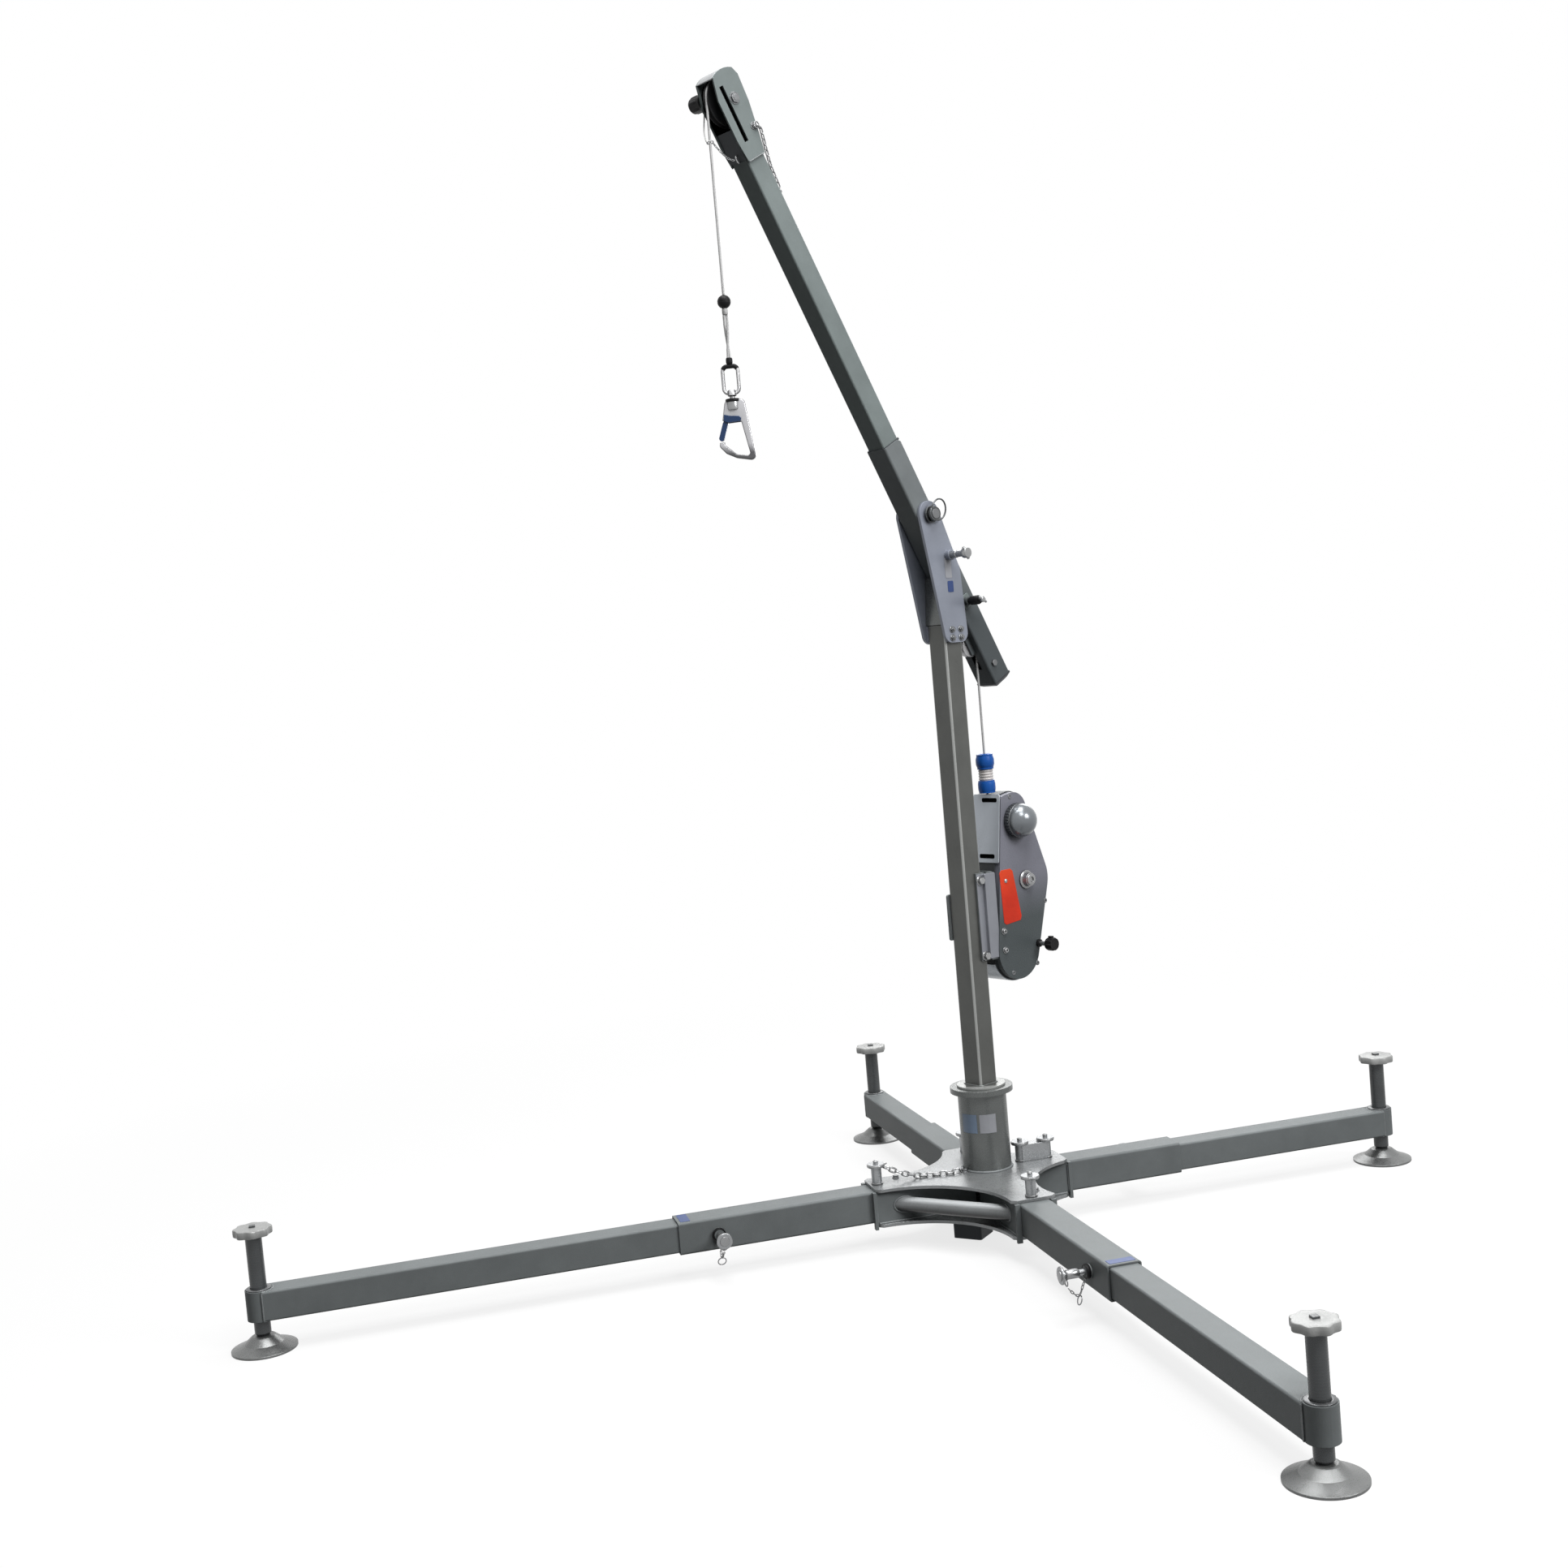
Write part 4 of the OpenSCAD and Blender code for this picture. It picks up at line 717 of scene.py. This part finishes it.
# mast and lifeline block
def add_block_face():
    """What lies on the block's front, near and far faces."""
    face = at(0, CASE_Y, 0) @ FACE_Y
    front = at(CASE_FRONT.x, 0, CASE_FRONT.y) @ turn(-CASE_LEAN, "Y") @ FACE_X
    on_mast("block_front_plate", "front", slab(front @ at(1.5, 95, 0.3), rounded(91, 176, 4), 0, 1.6, 0.6))
    slot = rounded(52, 11, 4)
    # Near-black sheets in the two slots: painted shade.
    on_mast("block_slots", "hollow",
            *[slab(front @ at(y, z, 1.9), slot, 0, 0.4, 0.2) for y, z in ((12, 168), (6, 24))])
    outline = [(-79, 906), (-86, 913), (-120, 913), (-128, 906), (-149, 786), (-144, 776), (-90, 772),
               (-83, 778)]
    on_mast("orange_plate", "orange", slab(face, outline, 0, 0.8, 0.3))
    rivet = [(5.5, 0), (5.5, 0.8), (4.2, 2.2), (1.5, 3), (0.4, 3.1)]
    socket_head = [(8.5, 0), (8.5, 1.4), (6.5, 1.6), (6.5, 6), (5.4, 7.2), (2.8, 7.2), (2.8, 4), (0.3, 4)]
    on_mast("block_screws", "steel", lathe(face @ at(-100, 884, 0.8), rivet, 24),
            *[lathe(face @ at(-79, z, 0), socket_head, 28) for z in (757, 708)])
    screw = [(6.2, 0), (6.2, 2.4), (5.6, 3), (2.6, 3), (2.6, 1.2), (0.3, 1.2)]
    spots = ((-139, 1097), (-205, 1000), (-243, 812), (-196, 655), (-104, 645))
    on_mast("cover_screws", "bolt", *[lathe(face @ at(x, z, -2), screw, 24) for x, z in spots])
    spots = ((-132, 1090), (-196, 1000), (-232, 812), (-190, 662), (-108, 655))
    on_mast("case_nuts", "bolt", *[bolt_head(at(x, -CASE_Y, z) @ turn(90, "X"), 10, 6) for x, z in spots])
    arcs = [polar(78.1, a) for a in range(-112, -19, 4)] + [polar(80.4, a) for a in range(-20, -113, -4)]
    outline = [(x - 132, z + 700) for x, z in arcs]
    on_mast("foot_guard", "bright", slab(at(0, -44, 0) @ FACE_Y, outline, 0, 72))


def add_block_controls():
    """The drum's cap, the domed knob's ribs and band, and the selector's stem and grip."""
    axle = at(run_x - 67, 0, DRUM_Z) @ FACE_Y
    hub = [(10.4, 47.6), (23, 47.6), (24, 48.6), (24, 51), (22.6, 52.4), (18.6, 53), (17.6, 56), (17, 64.8),
           (10.4, 64.8)]
    cap = [(15.5, 64.8), (14.8, 68.2), (13, 69.3), (7.2, 69.3), (7.2, 66.5), (0.3, 66.5)]
    piece("drum_cap", "steel", "drum", MAST, ring(axle, hub, 44), lathe(axle, cap, 36))
    dome = at(KNOB_AT.x, 0, KNOB_AT.y) @ FACE_Y
    rib = [(0.9, 50), (1.7, 51.5), (1.7, 60.5), (0.9, 62)]
    piece("knob_ribs", "dome", "knob", MAST,
          *[lathe(dome @ at(x, y, 0), rib, 8) for x, y in circle(43.3, 36)])
    band = [(43.6, 63), (44.2, 63.6), (44.2, 65.4), (43.6, 66)]
    piece("knob_band", "bolt", "knob", MAST, lathe(dome, band, 64))
    stem = at(SELECTOR_AT.x, 0, SELECTOR_AT.y) @ FACE_Y
    sleeve = [(5.9, 53), (6.4, 54), (6.4, 80), (5.9, 81)]
    piece("selector_stem", "steel", "selector", MAST, lathe(stem, sleeve, 24))
    lobe = [(1.2, 82), (3, 84), (3, 101), (1.2, 103.6)]
    piece("selector_grip", "black", "selector", MAST,
          *[lathe(stem @ at(x, y, 0), lobe, 12) for x, y in circle(14.4, 10)])


def add_block_mounting():
    """The strap, strips and bolts that hold the block on the mast, and the bumpers on its cable."""
    back = at(0, -BRACKET_Y - 0.1, 0)
    on_mast("strap_plate", "frame", slab(back @ at(6, 0, 805) @ FACE_Y, rounded(60, 118, 6), 0, 5, 0.8),
            *[bolt_head(back @ at(20, 0, z) @ turn(90, "X"), 13, 8) for z in (764, 846)])
    strips, bolts = [], []
    for side in (1, -1):
        place = Matrix.Scale(side, 4, (0, 1, 0)) @ at(0, PLATE_Y + 0.05, 0) @ FACE_Y
        strips += [slab(place @ at(-46, 803, -6), rounded(37, 218, 3), 0, 9, 0.8),
                   slab(place @ at(-21.2, 803, -7.05), rounded(29, 218, 2), 0, 1.3, 0.3)]
    on_mast("bracket_strips", "strip", *strips)
    for z in (703, 896):
        for side in (1, -1):
            place = at(-18, side * BRACKET_Y, z) @ turn(-90 * side, "X")
            bolts += [lathe(place, [(12, 0), (12, 1.8), (11, 2.4)], 28),
                      bolt_head(place @ at(0, 0, 1), 18, 11, washer=False)]
    on_mast("bracket_bolts", "steel", *bolts)
    cable = at(run_x, 0, 0)
    low = [(4.2, 1112), (17, 1112), (21.4, 1115), (22.4, 1120), (22.4, 1134), (21.4, 1139), (16, 1143),
           (4.2, 1143)]
    high = [(4.2, 1171), (15, 1171), (20.5, 1175), (23.6, 1184), (23.6, 1197), (20.5, 1207), (13, 1211.5),
            (4.2, 1211.5)]
    on_mast("blue_bumpers", "blue", *[ring(cable, bumper, 40) for bumper in (low, high)])
    waves = [(18.4 + 0.9 * math.sin(z * 0.9), z) for z in range(1142, 1173, 2)]
    on_mast("clear_buffer", "white", ring(cable, [(4.2, 1142), *waves, (4.2, 1172)], 36))


def add_mast_details():
    washer = [(8.6, 0), (8.6, 1.2), (8, 1.6)]
    on_mast("plate_washers", "bolt",
            *[lathe(at(x, side * (PLATE_Y + 0.05), z) @ turn(-90 * side, "X"), washer, 24)
              for z in (1514, 1535) for x in (-15, 15) for side in (1, -1)])
    for name, material, x, z, width, height in (("blank_plate_label", "blank_pale", 12, 1688, 22, 50),
                                                ("blank_plate_mark", "tape", 8, 1642, 20, 28)):
        outline = rounded(width, height, 3)
        on_mast(name, material, slab(at(x, PLATE_Y, z) @ FACE_Y, outline, 0, 0.5, 0.2))
    low, high = Vector((31, 1549)), Vector((20.5, 1668))
    way = high - low
    web = at(low.x - 3, 0, low.y) @ Matrix.Rotation(math.atan2(way.x, way.y), 4, "Y") @ FACE_X
    on_mast("head_web", "mast",
            slab(web @ at(0, way.length / 2, 0), rounded(67.4, way.length, 2), 0, 3, 0.6))
    on_mast("mast_foot_trim", "mast", bead(placed(at(0, 0, 375), rounded(62, 62, 7)), 2.4, closed=True))


# boom
def add_boom_details():
    pivot = at(0, 54.5, 0) @ FACE_Y
    collar = [(17.2, -6), (20.4, -6), (21, -5), (21, -3.6), (20.4, -3), (17.2, -3)]
    on_boom("pivot_ring", "screw", split_ring(at(1.4, 60.5, 18.5) @ turn(10) @ FACE_Y, 26, 2.2),
            ring(pivot, collar, 40),
            lathe(pivot, [(12.2, -4), (13.4, -3), (13.4, 3), (12.2, 4)]))
    collars = []
    for low, high in ((42.6, 48.6), (57.6, 64.4)):
        section = [(12.4, low), (17.2, low), (18.2, low + 1), (18.2, high - 1), (17.2, high), (12.4, high)]
        collars.append(ring(FACE_Y, section, 40))
    on_boom("pivot_collars", "screw", *collars)

    sleeve = [(8.2, 63.4), (9.4, 64.4), (9.4, 74), (8.2, 75), (8.2, 96), (12.4, 98), (13, 100), (13, 110),
              (12, 112.6), (3, 113), (0.4, 113)]
    bar = [(PLUNGER_X + x, 105, -2) for x in (-17, -15, 15, 17)]
    piece("plunger_trim", "steel", "plunger", ON_BOOM, lathe(at(PLUNGER_X, 0, -2) @ FACE_Y, sleeve),
          sweep(bar, [3, 4, 4, 3], 16))
    grip = at(EXTENSION_X, 0, -5) @ FACE_Y
    piece("extension_grip", "black", "extension_lock", ON_BOOM,
          lathe(grip, [(10.2, 53), (11.6, 55), (11.6, 78), (10, 81.4), (4.4, 81.6), (0.4, 81.6)], 28))
    bar = [(EXTENSION_X + x, 92, z) for x, z in ((-13, 2), (-11, 2), (11, -12), (13, -13))]
    piece("extension_trim", "steel", "extension_lock", ON_BOOM,
          lathe(grip, [(4.2, 80), (4.2, 88), (7.4, 90), (7.4, 95), (5, 97), (0.4, 97)], 24),
          sweep(bar, [2, 3.2, 3.2, 2], 14))
    on_boom("pin_boss_plate", "boom", slab(at(0, 33.1, 0) @ grip, rounded(34, 30, 4), 0, 2.4, 0.7))
    mouth = at(201, 0, -2) @ FACE_X
    outer, inner = rounded(64.4, 60.4, 6), rounded(56.8, 56.8, 5)
    levels = ((inner, -3), (inner, 1.4), (outer, 1.4), (outer, -3))
    rings = [[mouth @ Vector((*p, height)) for p in outline] for outline, height in levels]
    on_boom("boom_wiper", "skid", skin(rings, closed=True))


def add_head_details():
    far_face = [(1012, -33), (1085, -33), (1112, -22), (1126, -6), (1120, 10), (1060, 42), (1012, 24)]
    near_face = [(1012, -33), (1085, -33), (1108, -20), (1012, -18)]
    # Near-black sheets inside the boom head: painted shade.
    on_head("head_liners", "hollow", slab(at(1046, 22, -10) @ FACE_Y, rounded(144, 26, 3), 0, 2),
            slab(at(0, -27.8, 0) @ FACE_Y, far_face, 0, 1),
            slab(at(0, 26.8, 0) @ FACE_Y, near_face, 0, 1))
    on_head("head_floor", "skid", slab(at(983, 0, -33), rounded(72, 55, 2), 0, 2, 0.5))
    staple = [(947, 6, -32), (947, 6, -37), (950, 6, -39), (960, 6, -39), (963, 6, -37), (963, 6, -32)]
    on_head("chain_staple", "steel", sweep(staple, 1.8))
    lobe = [(3, -68.5), (6, -66), (6.4, -60), (6.4, -46), (5, -40), (2, -38)]
    spots = [KEEPER_AT + Vector(p) for p in circle(13.5, 6)]
    piece("keeper_grip", "black", "keeper", ON_BOOM,
          *[lathe(at(p.x, 0, p.y) @ FACE_Y, lobe, 16) for p in spots])

    ring_at = Vector((drop_x, 0, 2676))
    piece("rope_ring", "steel", "rope_hang", MAST, split_ring(at(*ring_at) @ turn(14.324, "X"), 7.5, 1.1))
    to_mast = MAST.inverted() @ ON_BOOM
    hook_on = to_mast @ Vector((1078, -33, -30))
    end = ring_at + Vector((0, -8, 0))
    route = [hook_on, hook_on.lerp(end, 0.35) + Vector((2, -6, -16)),
             hook_on.lerp(end, 0.75) + Vector((3, -2, -10)), end]
    made = piece("keeper_lanyard", "white_cord", None, MAST, sweep(smooth_line(route, 3.0), 1.7, 8),
                 split_ring(at(*hook_on) @ FACE_Y, 5, 1.2))
    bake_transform(made)
    chain_on = to_mast @ Vector((955, 6, -41))
    end = ring_at + Vector((-8, 0, 0))
    route = [end, end.lerp(chain_on, 0.35) - 8 * UP, end.lerp(chain_on, 0.7) - 9 * UP, chain_on]
    made = piece("keeper_chain", "steel", None, MAST, chain(route, 8.4, 0.9, 2.2))
    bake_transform(made)

    route = [(1000, 37, 34), (990, 36, 42), (972, 33, 40), (940, 27, 37), (905, 22, 33.5), (870, 20, 33),
             (846, 18, 32)]
    on_head("back_chain", "steel", chain(route, 16, 1.7, 4.2),
            split_ring(at(1002, 38, 33) @ FACE_Y, 7, 1.5))
    washers = [lathe(at(p.x, 32.1, p.y) @ FACE_Y, [(radius, 0), (radius, 1.5), (8, 1.7)], 28)
               for p, radius in ((HEAD_AT, 14), (ROLLER_AT, 9))]
    on_head("head_bolts", "bolt", bolt_head(at(846, 18, 26), 10, 6), *washers)
    on_head("head_welds", "weld", *[bead([(940, y, z) for z in (-29, 25)], 1.5) for y in (32.4, -32.4)])


# rope end and hook
HOOK_FRAME = at(0, 0, HOOK_Z) @ turn(-45)
ON_DROP = MAST @ at(drop_x, 0, 0)
ON_HOOK = ON_DROP @ HOOK_FRAME
EYE_FRAME = at(0, 0, EYE_Z - HOOK_Z) @ FACE_Y
EYE_WIDTH, EYE_HEIGHT, EYE_ROUND = 35, 61, 11
NOSE_Z, GAP_TOP, GAP_LEFT = -96.3, -47.0, 6.0
STRAND_LOW, STRAND_HIGH = 2190, 2305
STRAND_STEPS, STRAND_TURN = 20, 183.346


def hull(rounds):
    """The convex outline round several circles, anticlockwise."""
    points = [(x + dx, z + dz) for x, z, radius in rounds for dx, dz in circle(radius, 40)]
    return [points[i] for i in geometry.convex_hull_2d(points)]


def right_crossing(outline, z):
    """The point at which an outline crosses the height z furthest to the right."""
    return max(x0 + (x1 - x0) * (z - z0) / (z1 - z0)
               for (x0, z0), (x1, z1) in zip(outline, outline[1:] + outline[:1])
               if (z0 - z) * (z1 - z) <= 0 and z0 != z1), z


def nearest(outline, z, fits):
    """The index of the point nearest to the height z, of those that fit."""
    return min((i for i, p in enumerate(outline) if fits(*p)), key=lambda i: abs(outline[i][1] - z))


def hook_outline():
    """The outer hull less the inner one, open on the right between the nose and the gate's hinge."""
    outer = hull([(8, -13, 12), (-17, -13, 12), (-32, -130, 11), (-4, -120, 15), (16, -112, 13),
                  (29, -103, 9)])
    inner = hull([(-8, -58, 9), (8, -58, 9), (-24, -124, 6), (-4, -118, 8), (20, -100, 5)])
    start = nearest(outer, GAP_TOP, lambda x, z: x > 10 and z > GAP_TOP)
    around = [(x, z) for x, z in outer[start:] + outer[:start]
              if not (x > 10 and NOSE_Z - 0.01 < z < GAP_TOP + 0.01)]
    back = nearest(inner, NOSE_Z, lambda x, z: x > 8 and z < NOSE_Z)
    inside = [(x, z) for x, z in inner[back::-1] + inner[:back:-1]
              if not (x > GAP_LEFT - 0.01 and z > NOSE_Z)]
    return [right_crossing(outer, GAP_TOP), *around, right_crossing(outer, NOSE_Z),
            right_crossing(inner, NOSE_Z), *inside, (GAP_LEFT, GAP_TOP - 2), (GAP_LEFT, GAP_TOP)]


def soft_plate(outline, thick, rounding):
    """A plate with round edges, from a closed outline."""
    curve = bpy.data.curves.new("outline", "CURVE")
    curve.dimensions = "2D"
    curve.fill_mode = "BOTH"
    curve.extrude = thick / 2 - rounding
    curve.bevel_depth = rounding
    curve.bevel_resolution = 3
    curve.offset = -rounding
    line = curve.splines.new("POLY")
    line.points.add(len(outline) - 1)
    for point, (x, z) in zip(line.points, outline):
        point.co = (x, z, 0, 1)
    line.use_cyclic_u = True
    holder = add_object("outline", curve)
    bpy.context.view_layer.update()
    data = bpy.data.meshes.new_from_object(holder.evaluated_get(bpy.context.evaluated_depsgraph_get()))
    shape = [v.co.copy() for v in data.vertices], [tuple(face.vertices) for face in data.polygons]
    bpy.data.objects.remove(holder)
    bpy.data.curves.remove(curve)
    bpy.data.meshes.remove(data)
    return shape


def add_hook():
    bow = piece("hook_bow", "hook", "hook", ON_HOOK @ FACE_Y, soft_plate(hook_outline(), 14, 3.2),
                smooth=50, weld=0.02)
    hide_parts("hook_body")
    collar = [(0.5, -25), (12, -25), (13.6, -23.4), (14, -21), (14, -5), (13, -1.5), (10.5, -1), (0.5, -1)]
    rivet = [(4.2, -1), (4.2, 0.6), (3.4, 1.5), (0.4, 1.8)]
    piece("hook_collar", "steel", "hook", ON_HOOK, lathe(HERE, collar, 40),
          *[lathe(at(17, side * 7, -41) @ turn(-90 * side, "X"), rivet, 20) for side in (1, -1)])
    band = [(7, -6.5), (15.6, -6.5), (16.6, -5.5), (16.6, -0.6), (15.6, 0.4), (7, 0.4)]
    piece("hook_band", "black", "hook", ON_HOOK, ring(HERE, band, 40))
    lever = [(22, -34), (24, -48), (14, -53), (-14, -52), (-17, -45), (-12, -40), (8, -38)]
    piece("gate_lever", "gate", "gate", ON_HOOK,
          *[slab(at(0, side * 8.3, 0) @ FACE_Y, lever, -1.1, 1.1, 0.4) for side in (1, -1)])
    loop = placed(ON_HOOK @ EYE_FRAME, rounded(EYE_WIDTH, EYE_HEIGHT, EYE_ROUND, 8))
    stem = [(0.4, 20), (9, 20), (10.5, 18), (10.5, 8), (9, 6.5), (6.2, 6), (6.2, -12), (0.4, -12)]
    foot = [(0.4, -15.9), (9.6, -15.9), (9.6, -11.5), (0.4, -11.5)]
    eye = piece("swivel_eye", "eye", "line_end", HERE, sweep(loop, 4.2, 14, closed=True),
                lathe(ON_HOOK, stem), lathe(ON_HOOK, foot))
    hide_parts("hook_eye")


def add_rope_end():
    """The stop ball, the ferrule, the black sleeve over the eye's top and the two spliced strands."""
    ball = []
    for angle in range(-84, 85, 4):
        radius, height = polar(BALL_D / 2, angle)
        ball.append((radius * (0.97 if abs(angle) < 4 else 1), BALL_Z + height))
    ball = [(0.4, ball[0][1]), *ball, (0.4, ball[-1][1])]
    ferrule = [(0.4, 2177.6), (5, 2177.6), (7.4, 2180), (7.8, 2183), (7.8, 2189), (6.6, 2192.4),
               (0.4, 2192.6)]
    x, z = EYE_WIDTH / 2 - EYE_ROUND, EYE_HEIGHT / 2 - EYE_ROUND
    corners = [(-x, a) for a in range(155, 89, -13)] + [(x, a) for a in range(90, 24, -13)]
    over = [at(x, z, 0) @ Vector((*polar(EYE_ROUND, a), 0)) for x, a in corners]
    sleeve = sweep([HOOK_FRAME @ EYE_FRAME @ p for p in over], 5.3, 14)
    stop = piece("stop_ball", "black", "line_end", ON_DROP, lathe(HERE, ball, 40),
                 lathe(HERE, ferrule, 24), sleeve)
    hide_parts("rope_end")
    strands = []
    for side in (1, -1):
        line = []
        for i in range(STRAND_STEPS + 1):
            share = i / STRAND_STEPS
            radius = side * (3.0 + 0.6 * math.sin(math.pi * share))
            height = STRAND_LOW + (STRAND_HIGH - STRAND_LOW) * share
            line.append((*polar(radius, STRAND_TURN * share), height))
        strands.append(sweep(smooth_line(line, 3.0), 2.9, 12, shape=laid(0.14, side / 6)))
    binding = lathe(HERE, [(5.6, 2290), (6.6, 2292), (6.6, 2302), (5.6, 2304)], 20)
    piece("spliced_strands", "wire", "line_end", ON_DROP, *strands, binding)


add_hub_welds()
add_legs()
add_hub_chain()
add_blank_labels()
add_block_face()
add_block_controls()
add_block_mounting()
add_mast_details()
add_boom_details()
add_head_details()
add_hook()
add_rope_end()


# floor and light
LAMPS = {"key": ((-1.2, 5.4, 4.0), 2.4, 235), "top": ((0.0, 0.0, 7.0), 4.0, 480),
         "fill": ((1.8, 3.6, 6.0), 2.4, 150), "back": ((-4.5, -3.5, 3.5), 3.0, 90)}  # place, size and power
LIT_AT = Vector((-0.2, -0.2, 1.0))
WHITE = (1, 1, 1, 1)


def cleared(owner):
    owner.use_nodes = True
    owner.node_tree.nodes.clear()
    return Shading(owner.node_tree)


def background_share(made):
    """1 for the rays that see the plain white background: the camera's and those off metal or through
    glass. Also returns the share of the camera's rays alone."""
    camera_ray = made.node("ShaderNodeLightPath", out="Is Camera Ray")
    total = camera_ray
    for kind in ("Is Glossy Ray", "Is Transmission Ray"):
        total = made.math("MAXIMUM", total, camera_ray.node.outputs[kind])
    return total, camera_ray


def make_floor():
    """A wide pale disc that keeps the shadow near the object and goes over to the background's white."""
    centre = (Vector(cad_box[0]) + Vector(cad_box[1])) / 2
    points, faces = slab(at(centre.x, centre.y, 0), circle(40, 64), -0.05, 0)
    data = bpy.data.meshes.new("floor")
    data.from_pydata(points, [], faces)
    material = bpy.data.materials.new("floor")
    made = cleared(material)
    glow = made.node("ShaderNodeEmission", Color=WHITE)
    seen, camera_ray = background_share(made)
    pale = made.mix(camera_ray, (0.05, 0.05, 0.05), (0.8, 0.8, 0.8))
    matt = made.node("ShaderNodeBsdfDiffuse", Color=pale)
    place = made.node("ShaderNodeTexCoord", out="Object")
    away = made.node("ShaderNodeVectorMath", place, operation="LENGTH", out="Value")
    share = made.math("MULTIPLY", seen, made.spread(away, 1.2, 4.0, 0.78, 1.0))
    made.show(made.node("ShaderNodeMixShader", share, matt, glow), "ShaderNodeOutputMaterial")
    data.materials.append(material)
    add_object("floor", data)


def make_world():
    world = bpy.context.scene.world or bpy.data.worlds.new("world")
    bpy.context.scene.world = world
    made = cleared(world)
    dim = made.node("ShaderNodeBackground", Color=WHITE, Strength=0.1)
    white = made.node("ShaderNodeBackground", Color=WHITE)
    sky = made.node("ShaderNodeMixShader", background_share(made)[0], dim, white)
    made.show(sky, "ShaderNodeOutputWorld")


def make_lamps():
    for name, (spot, size, power) in LAMPS.items():
        lamp = bpy.data.lights.new(name, "AREA")
        lamp.size = size
        lamp.energy = power
        aim = (LIT_AT - Vector(spot)).to_track_quat("-Z", "Y")
        add_object(name, lamp).matrix_world = at(*spot) @ aim.to_matrix().to_4x4()


make_floor()
make_world()
make_lamps()
bpy.context.scene.view_settings.view_transform = "Standard"
